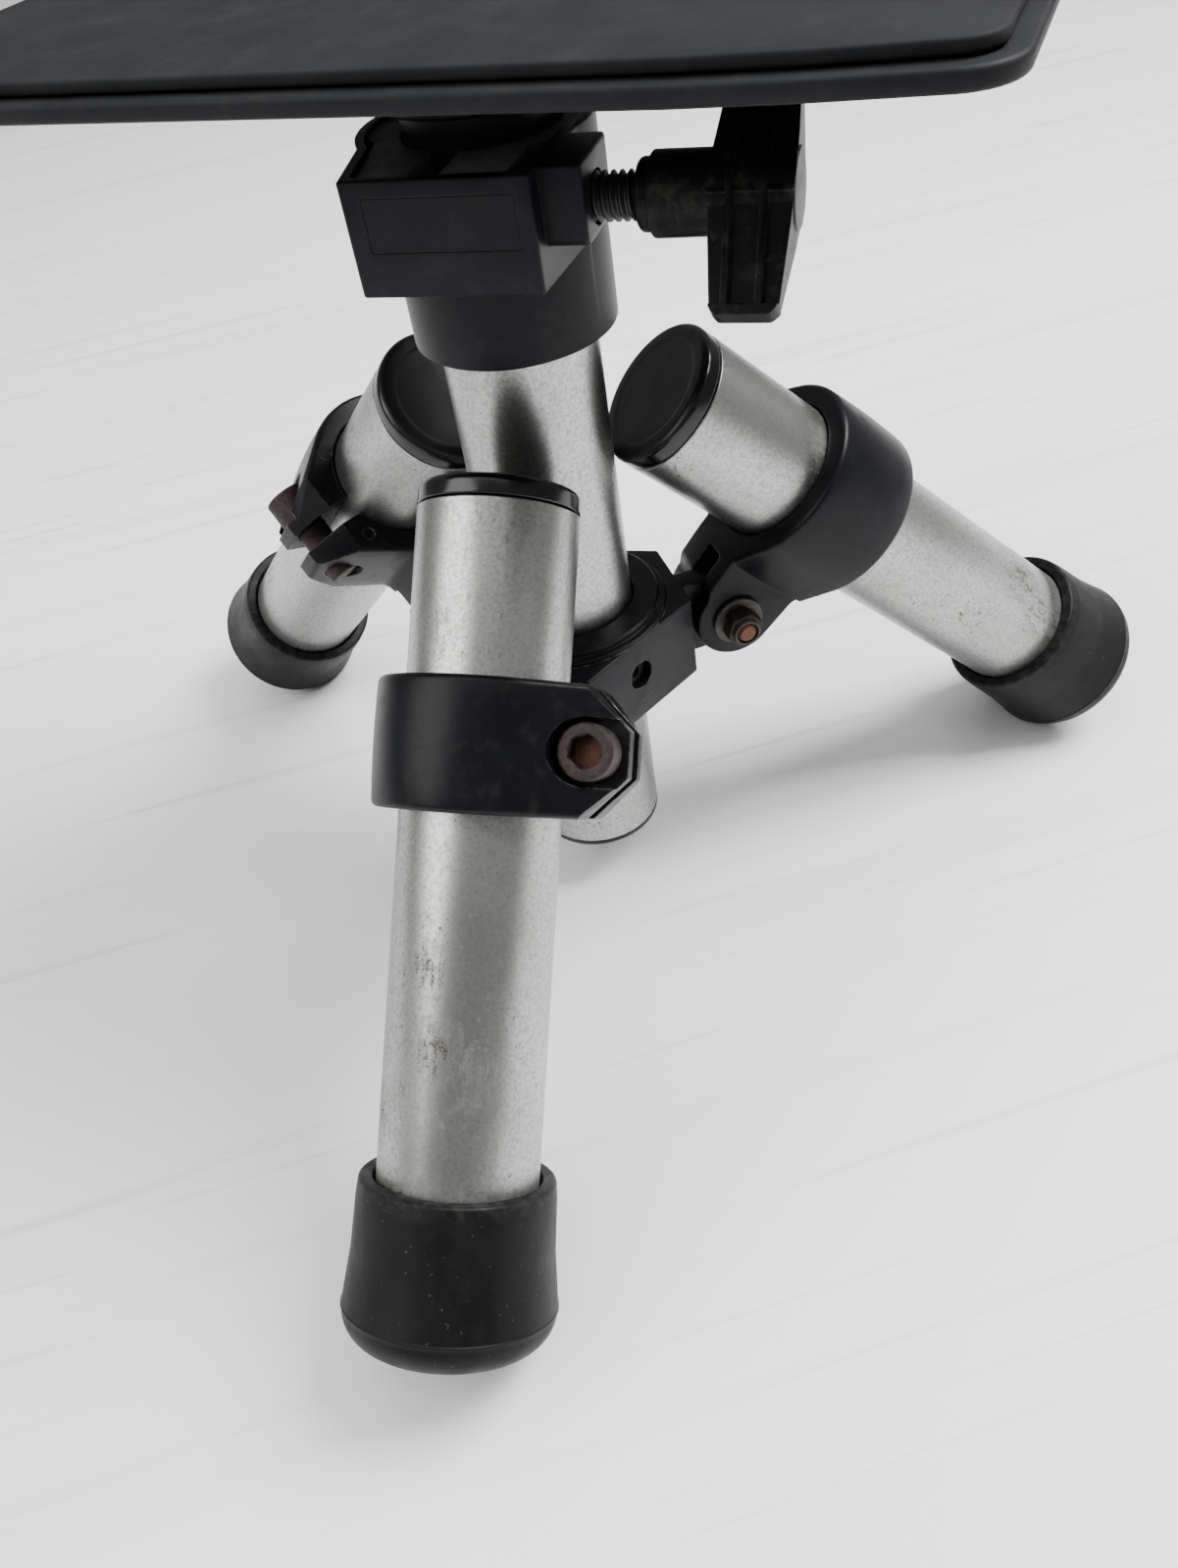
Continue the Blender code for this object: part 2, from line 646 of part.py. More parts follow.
def ring_outline():
    """The split ring that grips the pole, with an ear on each side of its front gap."""
    inner = POLE_R + GAP
    points = [(-4.5, -27.5), (-4.6, -math.sqrt(inner ** 2 - 4.6 ** 2))]
    left = math.degrees(math.atan2(points[-1][1], points[-1][0]))
    right = math.degrees(math.atan2(-math.sqrt(inner ** 2 - 1.0), 1.0))
    points += arc(inner, left, right - 360, 30)[1:]
    points += [(1.2, -26.8), (13.2, -26.8), (13.2, -13.0)]
    points += arc(18.6, -44, 90, 12)
    points += arc(21.0, 95, 196, 12)
    points += [(-17.6, -8.0), (-13.6, -27.5)]
    return points


ring = flat("ring_body", ring_outline(), RING_LOW, RING_TOP)
part("clamp_split_ring", bake(ring), "ring", HOUSING)

CLAMP_AT = Matrix.Translation((0, -CLAMP_N, CLAMP_Z))
SCREW_AXIS = empty("clamp_screw_axis", CLAMP_AT, HOUSING)
pad = cylinder("pad_disc", 3.8, 13.6, 15.3, steps=24, axis="X")
part("clamp_pad", bake(pad), "nylon", SCREW_AXIS)
rod_profile = [(0, 42), (3.4, 42), (4.0, 41.4), (4.0, 16.6), (3.0, 15.6), (0, 15.6)]
rod = turned("rod_turned", rod_profile, closed=False, steps=24)
part("clamp_screw", bake(rod), "dark_steel", SCREW_AXIS, Matrix.Rotation(math.pi / 2, 4, "Y"))


def wing_outline():
    """Side view of the T-handle as (along the screw, along the wing)."""
    half = [(59.3, 0.0), (58.8, 8.0), (57.8, 19.8), (56.4, 21.2), (47.6, 21.2), (46.4, 20.0)]
    return [(x, -z) for x, z in reversed(half[1:])] + half + [(45.0, 0.0)]


def wing_thickness():
    """End view of the T-handle as (along the wing, across it): thick at the barrel, thin at its tips."""
    return [(-22, -1.6), (-3, -6.2), (3, -6.2), (22, -1.6), (22, 1.6), (3, 6.2), (-3, 6.2), (-22, 1.6)]


knob = turned(
    "knob_barrel",
    [
        (0, 59.3), (6.0, 59.3), (6.5, 58.8), (6.7, 36.0), (6.2, 35.3), (5.7, 35.2), (5.7, 33.9),
        (4.9, 33.0), (0, 33.0),
    ],
    closed=False, steps=32,
)
wing = flat("knob_wing", wing_outline(), -8, 8, axis="Y")
keep(wing, flat("knob_wing_taper", wing_thickness(), 40, 65))
bevel(wing, 0.5, 1)
add(knob, wing)
cut(knob, cylinder("knob_hole", 4.3, 30, 42.3, steps=24))
knob_mesh = bake(knob)
tilt = Matrix.Rotation(math.radians(WING_TILT), 4, "X")
part("clamp_knob", knob_mesh, "knob", SCREW_AXIS, tilt @ Matrix.Rotation(math.pi / 2, 4, "Y"))

# ----------------------------------------------------------- pole and head
pole = turned("pole_turned", tube_profile(POLE_R, POLE_R - 1.5, POLE_LOW, POLE_TOP))
part("pole_tube", bake(pole), "pole", STAND)
BUSH_R = POLE_R - 1.5 - GAP
bush = turned(
    "pole_bush_turned",
    [
        (0, 42), (BUSH_R, 42), (BUSH_R, POLE_LOW - GAP), (POLE_R, POLE_LOW - GAP), (POLE_R, 26.5),
        (POLE_R - 1, 25.5), (0, 25.5),
    ],
    closed=False,
)
part("pole_guide_bush", bake(bush), "nylon", STAND)
HEAD = empty("head_axes", Matrix.Rotation(math.radians(PLATE_TURN), 4, "Z"), STAND)
socket = turned(
    "socket_turned",
    [
        (0, PLATE_LOW - GAP), (29.5, PLATE_LOW - GAP), (30, PLATE_LOW - 0.8), (30, PLATE_LOW - 3.0),
        (18.5, PLATE_LOW - 3.0), (18.0, PLATE_LOW - 3.5), (18.0, SOCKET_LOW + 0.8),
        (17.2, SOCKET_LOW), (POLE_R + GAP, SOCKET_LOW), (POLE_R + GAP, POLE_TOP + GAP),
        (0, POLE_TOP + GAP),
    ],
    closed=True,
)
grub_way = cylinder("socket_screw_hole", SET_SCREW_R + GAP, 10, 25, steps=24, axis="Y")
grub_way.data.transform(shift(0, 0, 197.5))
cut(socket, grub_way)
SCREW_RING = 24.0
for azimuth in (45, 135, 225, 315):
    hole = cylinder("socket_mount_hole", 2.3, 195, 215, steps=16)
    hole.data.transform(Matrix.Translation(polar(SCREW_RING, azimuth) * MM))
    cut(socket, hole)
part("head_socket", bake(socket), "moulding", HEAD)
grub = Matrix.Translation((0, POLE_R + GAP + 0.1, 197.5)) @ Matrix.Rotation(-math.pi / 2, 4, "X")
part("head_set_screw", set_screw_mesh, "dark_steel", HEAD, grub)

CORNER = 9.0


def plate_outline(margin, corner):
    """A rectangle whose long edges bow back towards rounded corners."""
    half_x = PLATE_X / 2 - margin
    half_y = PLATE_Y / 2 - margin
    corner_at = (half_x - corner, half_y - PLATE_BOW - corner + 0.6)
    quarter = [(half_x, 0.0)] + arc(corner, 0, 84, 4, corner_at)
    reach = half_x - corner - 3 - PLATE_STRAIGHT
    for i in range(4):
        back = reach * (1 - i / 3)
        quarter.append((PLATE_STRAIGHT + back, half_y - PLATE_BOW * (back / reach) ** 2 * 0.8))
    left = [(-x, y) for x, y in reversed(quarter)]
    upper = quarter + left
    back = [(x, y + PLATE_BEHIND) for x, y in upper]
    return back + [(-x, -y) for x, y in upper[1:-1]]


plate = flat("plate_body", plate_outline(0, CORNER), PLATE_LOW, PLATE_LOW + PLATE_THICK)
bevel(plate, 0.6, 1)
for azimuth in (45, 135, 225, 315):
    hole = cylinder("plate_mount_hole", 2.3, PLATE_LOW - 5, PLATE_LOW + PLATE_THICK - 0.5, steps=16)
    hole.data.transform(Matrix.Translation(polar(SCREW_RING, azimuth) * MM))
    cut(plate, hole)
part("speaker_plate", bake(plate), "plate", HEAD)
mat_low = PLATE_LOW + PLATE_THICK + GAP
mat_body = flat("mat_body", plate_outline(3.0, CORNER - 3), mat_low, mat_low + MAT_THICK)
part("plate_mat", bake(mat_body), "mat", HEAD)
plate_screw = turned(
    "plate_screw_turned",
    [(0, 5.0), (1.95, 5.0), (1.95, -GAP), (4.0, -GAP), (3.4, -1.8), (2.0, -2.4), (0, -2.4)],
    closed=False, steps=20,
)
plate_screw_mesh = bake(plate_screw)
for index, azimuth in enumerate((45, 135, 225, 315)):
    at = Matrix.Translation(polar(SCREW_RING, azimuth, PLATE_LOW - 3.0))
    part(f"plate_screw_{index + 1}", plate_screw_mesh, "dark_steel", HEAD, at)
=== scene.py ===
"""Looks for the speaker tripod stand: finer meshes, worn materials, floor, light and camera.

Lengths are in millimetres, and MM turns them into metres.  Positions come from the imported
frame: the hinge pins, the legs' directions, the column axis and the clamp screw.
"""

import json
import math

import bmesh
import bpy
from mathutils import Matrix, Vector

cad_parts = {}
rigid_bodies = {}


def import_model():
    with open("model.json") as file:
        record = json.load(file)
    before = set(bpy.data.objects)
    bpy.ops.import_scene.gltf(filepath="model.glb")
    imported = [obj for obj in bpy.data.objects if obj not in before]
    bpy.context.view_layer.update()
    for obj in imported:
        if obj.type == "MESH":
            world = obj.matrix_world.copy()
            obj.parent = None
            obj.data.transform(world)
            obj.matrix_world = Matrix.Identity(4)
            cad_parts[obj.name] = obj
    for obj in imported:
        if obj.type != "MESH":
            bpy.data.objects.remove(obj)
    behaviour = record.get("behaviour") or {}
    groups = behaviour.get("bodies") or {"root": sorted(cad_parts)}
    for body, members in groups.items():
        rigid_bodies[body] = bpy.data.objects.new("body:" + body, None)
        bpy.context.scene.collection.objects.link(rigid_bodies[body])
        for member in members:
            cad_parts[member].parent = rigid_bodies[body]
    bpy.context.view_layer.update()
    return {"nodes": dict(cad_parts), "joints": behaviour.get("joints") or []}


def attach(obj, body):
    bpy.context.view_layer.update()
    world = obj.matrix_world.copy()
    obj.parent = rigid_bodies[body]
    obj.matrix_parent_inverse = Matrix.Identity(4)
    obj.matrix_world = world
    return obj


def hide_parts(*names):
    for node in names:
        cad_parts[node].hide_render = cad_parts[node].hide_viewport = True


MM = 0.001
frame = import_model()
JOINTS = {joint["name"]: joint for joint in frame["joints"]}
LEGS = "abc"

# ---------------------------------------------------------------- dimensions
TUBE_R = 16.0
TUBE_INNER = 14.8
GAP = 0.3
COLUMN = (16.6, 168.3)
PLUG_LOW = 15.0
HUB = (60.2, 81.5)
HUB_FLAT = 23.9
HUB_SHOULDER = 27.5
PIN_RADIUS = 39.35
TONGUE = (-4.7, 1.3)
TONGUE_R = 9.8
RING_RISE = 32.6
RING_SHIFT = 0.5
RING_R = 21.6
RING_HALF = 12.6
FORK_HALF = 9.7
FORK_GAP = (-5.0, 1.6)
FORK_ROOT = -22.6
EAR_MID = -1.5
EAR_GAP = 2.5
EAR_END = 30.0
EAR_TIP_HALF = 6.3
EAR_CHAMFER = 8.2
BOLT_H = 23.2
BOLT_HEAD_R = 5.45
SEAT_R = 6.6
SEAT_HALF = 6.5
BOLT_SEAT = 4.3
CAP_START = -45.95
LEG_TUBE_END = 151.0
FOOT_RIM = 129.6
FOOT_SEAM = 154.45
CLAMP_N = 18.0
BOX = (168.8, 188.3)
WING_TILT = -45.0
PLATE_TURN = -8.6
PLATE_BEHIND = 10.0
SET_SCREW_HOLE = (3.5, -1.4, 72.3)
WASHER_R = 6.2
WASHER_THICK = 1.0
PIN_HOLE_R = 2.75
NUT_TALL = 5.2
HEX_ACROSS = 8.0
ROD_R = 4.0
THREAD_PITCH = 1.5
HEAD_TALL = 7.4

STEPS = 128


# ------------------------------------------------------------- mesh helpers
def new_object(name, mesh):
    obj = bpy.data.objects.new(name, mesh)
    bpy.context.scene.collection.objects.link(obj)
    return obj


def outwards(bm):
    bmesh.ops.recalc_face_normals(bm, faces=bm.faces)
    if bm.calc_volume(signed=True) < 0:
        bmesh.ops.reverse_faces(bm, faces=bm.faces)


def as_object(bm, name, scale=MM):
    mesh = bpy.data.meshes.new(name)
    bmesh.ops.scale(bm, vec=(scale, scale, scale), verts=bm.verts)
    outwards(bm)
    bm.to_mesh(mesh)
    bm.free()
    return new_object(name, mesh)


def bake(obj, sharp=38.0):
    """The object's modifiers applied, its faces smooth apart from real edges."""
    bpy.context.view_layer.update()
    graph = bpy.context.evaluated_depsgraph_get()
    mesh = bpy.data.meshes.new_from_object(obj.evaluated_get(graph))
    obj.modifiers.clear()
    obj.data = mesh
    mesh.shade_smooth()
    mesh.set_sharp_from_angle(angle=math.radians(sharp))
    return obj


def path(points, closed=True, step=10.0):
    """A polyline of (x, y) or (x, y, corner radius) with its corners turned into arcs."""
    points = [(p[0], p[1], p[2] if len(p) > 2 else 0.0) for p in points]
    out = []
    for i, (x, y, radius) in enumerate(points):
        if radius <= 0 or (not closed and i in (0, len(points) - 1)):
            out.append((x, y))
            continue
        corner = Vector((x, y))
        before = Vector(points[i - 1][:2]) - corner
        after = Vector(points[(i + 1) % len(points)][:2]) - corner
        half = before.angle(after) / 2
        reach = min(radius / math.tan(half), before.length * 0.49, after.length * 0.49)
        radius = reach * math.tan(half)
        before.normalize()
        after.normalize()
        centre = corner + (before + after).normalized() * (radius / math.sin(half))
        first = corner + before * reach - centre
        start = math.atan2(first.y, first.x)
        sweep = math.pi - 2 * half
        if before.x * after.y - before.y * after.x > 0:
            sweep = -sweep
        count = max(2, math.ceil(abs(math.degrees(sweep)) / step))
        for k in range(count + 1):
            a = start + sweep * k / count
            out.append((centre.x + radius * math.cos(a), centre.y + radius * math.sin(a)))
    return out


def arc(radius, start, end, step=4.0, centre=(0.0, 0.0)):
    count = max(2, math.ceil(abs(end - start) / step))
    angles = [math.radians(start + (end - start) * i / count) for i in range(count + 1)]
    return [(centre[0] + radius * math.cos(a), centre[1] + radius * math.sin(a)) for a in angles]


def turned(name, profile, closed=True, steps=STEPS):
    """A solid of revolution about Z from a profile of (radius, z, corner radius)."""
    bm = bmesh.new()
    verts = [bm.verts.new((x * MM, 0.0, z * MM)) for x, z in path(profile, closed)]
    for first, second in zip(verts, verts[1:]):
        bm.edges.new((first, second))
    if closed:
        bm.edges.new((verts[-1], verts[0]))
    mesh = bpy.data.meshes.new(name)
    bm.to_mesh(mesh)
    bm.free()
    obj = new_object(name, mesh)
    screw = obj.modifiers.new("turn", "SCREW")
    screw.angle = 2 * math.pi
    screw.steps = steps
    screw.render_steps = steps
    screw.use_merge_vertices = True
    screw.merge_threshold = 0.000005
    bake(obj)
    bm = bmesh.new()
    bm.from_mesh(obj.data)
    bmesh.ops.remove_doubles(bm, verts=bm.verts, dist=0.000002)
    outwards(bm)
    bm.to_mesh(obj.data)
    bm.free()
    obj.data.shade_smooth()
    obj.data.set_sharp_from_angle(angle=math.radians(38))
    return obj


TURN_TO = {
    "Z": Matrix(),
    "X": Matrix(((0, 0, 1, 0), (1, 0, 0, 0), (0, 1, 0, 0), (0, 0, 0, 1))),
    "Y": Matrix(((0, 1, 0, 0), (0, 0, 1, 0), (1, 0, 0, 0), (0, 0, 0, 1))),
}


def flat(name, outline, low, high, axis="Z", edge=0.0, segments=3):
    """An outline pushed from low to high: (x, y) along Z, (y, z) along X, (z, x) along Y."""
    bm = bmesh.new()
    face = bm.faces.new([bm.verts.new((x, y, low)) for x, y in path(outline)])
    made = bmesh.ops.extrude_face_region(bm, geom=[face])
    moved = [v for v in made["geom"] if isinstance(v, bmesh.types.BMVert)]
    bmesh.ops.translate(bm, verts=moved, vec=(0, 0, high - low))
    bm.transform(TURN_TO[axis])
    obj = as_object(bm, name)
    if edge:
        bevel(obj, edge, segments)
    return obj


def crowned(name, outline, half, crown, edge):
    """An outline along Z whose sides bulge in the middle and round off at both ends."""
    points = [Vector(p) for p in path(outline)]
    if sum(a.cross(b) for a, b in zip(points, points[1:] + points[:1])) < 0:
        points.reverse()
    inward = []
    for i, here in enumerate(points):
        along = (points[(i + 1) % len(points)] - here).normalized() + (here - points[i - 1]).normalized()
        inward.append(Vector((-along.y, along.x)).normalized())
    turns = (0, 0.35, 0.7, 1.0, 1.25, 1.45)
    levels = [(half - edge + edge * math.sin(t), edge * (1 - math.cos(t))) for t in turns]
    levels = [(0.0, 0.0), (half * 0.3, 0.0), (half * 0.6, 0.0), *levels]
    rows = [(-z, inset) for z, inset in reversed(levels[1:])] + levels
    bm = bmesh.new()
    rings = []
    for z, inset in rows:
        inset += crown * (z / half) ** 2
        rings.append([bm.verts.new((*(p + n * inset), z)) for p, n in zip(points, inward)])
    for low, high in zip(rings, rings[1:]):
        for i in range(len(points)):
            bm.faces.new((low[i - 1], low[i], high[i], high[i - 1]))
    bm.faces.new(list(reversed(rings[0])))
    bm.faces.new(rings[-1])
    return as_object(bm, name)


def cylinder(name, radius, low, high, axis="Z", at=(0, 0, 0), steps=64):
    bm = bmesh.new()
    middle = Matrix.Translation((0, 0, (low + high) / 2))
    bmesh.ops.create_cone(
        bm, cap_ends=True, segments=steps, radius1=radius, radius2=radius, depth=high - low, matrix=middle
    )
    bm.transform(Matrix.Translation(at) @ TURN_TO[axis])
    return as_object(bm, name)


def block(name, low, high):
    bm = bmesh.new()
    size = Vector(high) - Vector(low)
    middle = (Vector(high) + Vector(low)) / 2
    bmesh.ops.create_cube(bm, size=1.0, matrix=Matrix.Translation(middle) @ Matrix.Diagonal((*size, 1.0)))
    return as_object(bm, name)


def bevel(obj, width, segments=3, angle=35.0):
    mod = obj.modifiers.new("edge", "BEVEL")
    mod.width = width * MM
    mod.segments = segments
    mod.limit_method = "ANGLE"
    mod.angle_limit = math.radians(angle)
    return bake(obj)


def moved(obj, matrix):
    """Moves the mesh itself by a matrix in millimetres."""
    shift = matrix.copy()
    shift.translation = matrix.translation * MM
    obj.data.transform(shift)
    return obj


def combine(obj, add=(), cut=(), keep=()):
    """One mesh from Boolean operations; the other objects are used up."""
    for operation, others in (("UNION", add), ("INTERSECT", keep), ("DIFFERENCE", cut)):
        for other in others:
            mod = obj.modifiers.new(operation, "BOOLEAN")
            mod.operation = operation
            mod.solver = "EXACT"
            mod.object = other
    bake(obj)
    for other in (*add, *keep, *cut):
        bpy.data.objects.remove(other, do_unlink=True)
    return obj


def tube(outer, inner, low, high, edge=0.35):
    return [(outer, high, edge), (outer, low, edge), (inner, low, edge), (inner, high, edge)]


def hexagon(across_flats):
    return arc(across_flats / 2 / math.cos(math.pi / 6), 0, 300, 60)


# ----------------------------------------------------------- material helpers
class Look:
    """A material's node tree, with short names for the nodes used here."""

    def __init__(self, name):
        self.material = bpy.data.materials.new(name)
        self.material.use_nodes = True
        self.tree = self.material.node_tree
        self.bsdf = self.tree.nodes["Principled BSDF"]
        coords = self.node("ShaderNodeTexCoord")
        spread = self.node("ShaderNodeObjectInfo")
        shift = self.node("ShaderNodeVectorMath", operation="SCALE")
        shift.inputs[0].default_value = (1.0, 0.7, 0.4)
        self.link(spread.outputs["Random"], shift.inputs["Scale"])
        self.here = coords.outputs["Object"]
        self.varied = self.math3("ADD", self.here, shift.outputs[0])

    def node(self, kind, **settings):
        made = self.tree.nodes.new(kind)
        for key, value in settings.items():
            setattr(made, key, value)
        return made

    def link(self, source, target):
        if isinstance(source, (int, float)):
            target.default_value = source
        elif isinstance(source, tuple):
            target.default_value = (*source, 1.0) if len(source) == 3 and target.type == "RGBA" else source
        else:
            self.tree.links.new(source, target)

    def math3(self, operation, a, b):
        made = self.node("ShaderNodeVectorMath", operation=operation)
        self.link(a, made.inputs[0])
        self.link(b, made.inputs[1])
        return made.outputs[0]

    def math(self, operation, a, b=0.0, clamp=False):
        made = self.node("ShaderNodeMath", operation=operation, use_clamp=clamp)
        self.link(a, made.inputs[0])
        self.link(b, made.inputs[1])
        return made.outputs[0]

    def noise(self, scale, detail=4.0, rough=0.55, stretch=(1.0, 1.0, 1.0), distort=0.0, where=None):
        """Noise with about `scale` features a metre, squeezed along each axis by stretch."""
        mapped = self.math3("MULTIPLY", where or self.varied, stretch)
        made = self.node("ShaderNodeTexNoise")
        made.inputs["Scale"].default_value = scale
        made.inputs["Detail"].default_value = detail
        made.inputs["Roughness"].default_value = rough
        made.inputs["Distortion"].default_value = distort
        self.link(mapped, made.inputs["Vector"])
        return made.outputs["Fac"]

    def span(self, value, low, high, to_low=0.0, to_high=1.0):
        made = self.node("ShaderNodeMapRange")
        self.link(value, made.inputs["Value"])
        for key, number in (("From Min", low), ("From Max", high), ("To Min", to_low), ("To Max", to_high)):
            self.link(number, made.inputs[key])
        return made.outputs["Result"]

    def blend(self, fac, a, b):
        made = self.node("ShaderNodeMix", data_type="RGBA")
        sockets = {socket.identifier: socket for socket in (*made.inputs, *made.outputs)}
        self.link(fac, sockets["Factor_Float"])
        self.link(a, sockets["A_Color"])
        self.link(b, sockets["B_Color"])
        return sockets["Result_Color"]

    def near(self, centre, radius, soft=1.0):
        """1 at a place in the piece's own axes, in millimetres, falling to 0 at the radius."""
        made = self.node("ShaderNodeVectorMath", operation="DISTANCE")
        self.link(self.here, made.inputs[0])
        self.link(tuple(c * MM for c in centre), made.inputs[1])
        return self.span(made.outputs["Value"], radius * MM, radius * MM * (1 - soft * 0.9))

    def along(self, axis):
        made = self.node("ShaderNodeSeparateXYZ")
        self.link(self.here, made.inputs[0])
        return made.outputs["XYZ".index(axis)]

    def worn_edges(self, radius=0.6, low=0.02, high=0.2):
        """1 where the surface turns a corner within the radius, in millimetres."""
        rounded = self.node("ShaderNodeBevel", samples=4)
        rounded.inputs["Radius"].default_value = radius * MM
        shape = self.node("ShaderNodeNewGeometry")
        both = self.node("ShaderNodeVectorMath", operation="DOT_PRODUCT")
        self.link(rounded.outputs[0], both.inputs[0])
        self.link(shape.outputs["Normal"], both.inputs[1])
        return self.span(self.math("SUBTRACT", 1.0, both.outputs["Value"]), low, high)

    def relief(self, *layers, round_edges=0.0):
        """Bump from (height, strength, depth in millimetres) layers over rounded edges."""
        normal = None
        if round_edges:
            edge = self.node("ShaderNodeBevel", samples=4)
            edge.inputs["Radius"].default_value = round_edges * MM
            normal = edge.outputs[0]
        for height, strength, depth in layers:
            made = self.node("ShaderNodeBump")
            made.inputs["Strength"].default_value = strength
            made.inputs["Distance"].default_value = depth * MM
            self.link(height, made.inputs["Height"])
            if normal:
                self.link(normal, made.inputs["Normal"])
            normal = made.outputs[0]
        self.link(normal, self.bsdf.inputs["Normal"])

    def finish(self, colour, roughness, metallic=0.0, **more):
        self.link(colour, self.bsdf.inputs["Base Color"])
        self.link(roughness, self.bsdf.inputs["Roughness"])
        self.link(metallic, self.bsdf.inputs["Metallic"])
        for key, value in more.items():
            self.link(value, self.bsdf.inputs[key.replace("_", " ")])
        return self.material


def satin_tube(name, stains=(), rim_darkening=0.0):
    """Drawn aluminium with a fine satin grain, faint handling marks and brown stains."""
    look = Look(name)
    grain = look.noise(1250, 4, 0.75)
    drawn = look.noise(1500, 3, 0.6, (1, 1, 0.03))
    cloud = look.noise(55, 4, 0.6, (1, 1, 0.5))
    tone = look.blend(look.span(cloud, 0.35, 0.7), (0.37, 0.372, 0.360), (0.50, 0.502, 0.492))
    tone = look.blend(look.span(grain, 0.42, 0.66, 0.0, 0.75), tone, (0.20, 0.198, 0.185))
    pits = look.span(look.noise(900, 2, 0.5), 0.64, 0.70)
    fine = look.math("MULTIPLY", look.noise(2200, 6, 0.8), look.noise(700, 5, 0.75, (1, 1, 0.35)))
    marks = look.math("MULTIPLY", pits, look.span(look.noise(60, 2), 0.46, 0.60, 0.0, 0.7))
    for centre, radius, strength in stains:
        patch = look.math("MULTIPLY", look.near(centre, radius * 1.25, 0.8), look.span(fine, 0.23, 0.31))
        marks = look.math("MAXIMUM", marks, look.math("MULTIPLY", patch, strength))
    # Patchy brown marks that grow from nothing 5 mm above the foot's rim to full strength at the rim.
    if rim_darkening:
        band = look.span(look.along("Z"), (FOOT_RIM - 5) * MM, (FOOT_RIM + 1) * MM, 0.0, rim_darkening)
        marks = look.math("MAXIMUM", marks, look.math("MULTIPLY", band, look.span(fine, 0.15, 0.3)))
    colour = look.blend(marks, tone, (0.040, 0.029, 0.019))
    rough = look.math("ADD", look.span(grain, 0.3, 0.75, 0.28, 0.42), look.math("MULTIPLY", marks, 0.3))
    metal = look.math("SUBTRACT", 1.0, look.math("MULTIPLY", marks, 0.75))
    look.relief((grain, 0.16, 0.05), (drawn, 0.16, 0.04))
    return look.finish(colour, rough, metal)


def black_casting(name, wear=0.5, dust=0.25):
    """Satin black paint on a casting: faint turning lines, rubbed edges and dust."""
    look = Look(name)
    speckle = look.noise(1800, 4, 0.65)
    lines = look.noise(1400, 3, 0.6, (0.04, 0.04, 1))
    cloud = look.noise(90, 4, 0.6)
    tone = look.blend(look.span(cloud, 0.35, 0.7), (0.0028, 0.0030, 0.0040), (0.0050, 0.0053, 0.0068))
    dusty = look.math("MULTIPLY", look.span(look.noise(260, 6, 0.7), 0.55, 0.75), dust)
    tone = look.blend(dusty, tone, (0.030, 0.030, 0.029))
    patchy = look.span(look.noise(420, 5, 0.7), 0.42, 0.62)
    rub = look.math("MULTIPLY", look.worn_edges(0.45, 0.04, 0.25), patchy)
    rub = look.math("MULTIPLY", rub, wear)
    colour = look.blend(rub, tone, (0.45, 0.45, 0.44))
    rough = look.math("ADD", look.span(speckle, 0.3, 0.7, 0.30, 0.40), look.math("MULTIPLY", dusty, 0.8))
    look.relief((speckle, 0.10, 0.05), (lines, 0.10, 0.03), round_edges=0.5)
    return look.finish(colour, rough, look.math("MULTIPLY", rub, 0.8), Specular_IOR_Level=0.16)


def moulding(name, dark, light, rough, dust, dust_tone=(0.09, 0.09, 0.085), edge=0.4, rub=0.35):
    """Moulded plastic with a fine spark-eroded grain, dust, and paler rubbed edges."""
    look = Look(name)
    grain = look.noise(3200, 3, 0.6)
    cloud = look.noise(70, 4, 0.6)
    smears = look.noise(220, 6, 0.7, (1, 0.5, 1))
    tone = look.blend(look.span(cloud, 0.35, 0.68), dark, light)
    dusty = look.math("MULTIPLY", look.span(smears, 0.52, 0.74), dust)
    patchy = look.span(look.noise(500, 5, 0.7), 0.40, 0.62, 0, rub)
    pale = look.math("MULTIPLY", look.worn_edges(edge, 0.03, 0.3), patchy)
    colour = look.blend(look.math("MAXIMUM", dusty, pale), tone, dust_tone)
    surface = look.math("ADD", look.span(grain, 0.3, 0.72, *rough), look.math("MULTIPLY", dusty, 0.5))
    look.relief((grain, 0.16, 0.05), (cloud, 0.05, 0.3), round_edges=edge)
    return look.finish(colour, surface, Specular_IOR_Level=0.12)


def foot_rubber():
    look = Look("foot_rubber")
    grain = look.noise(2400, 4, 0.65)
    smear = look.noise(120, 6, 0.7, (1, 1, 0.6))
    tone = look.blend(look.span(smear, 0.4, 0.72), (0.0026, 0.0027, 0.0032), (0.0052, 0.0054, 0.0060))
    lip = look.span(look.along("Z"), -3.5 * MM, -0.5 * MM)
    dirt = look.math("MULTIPLY", lip, look.span(look.noise(400, 6, 0.75), 0.45, 0.70, 0.0, 0.22))
    specks = look.span(look.noise(1100, 2, 0.5), 0.69, 0.74, 0.0, 0.30)
    colour = look.blend(look.math("MAXIMUM", dirt, specks), tone, (0.10, 0.095, 0.08))
    rough = look.span(smear, 0.35, 0.7, 0.42, 0.60)
    look.relief((grain, 0.15, 0.05), (smear, 0.05, 0.3))
    return look.finish(colour, rough, Specular_IOR_Level=0.15)


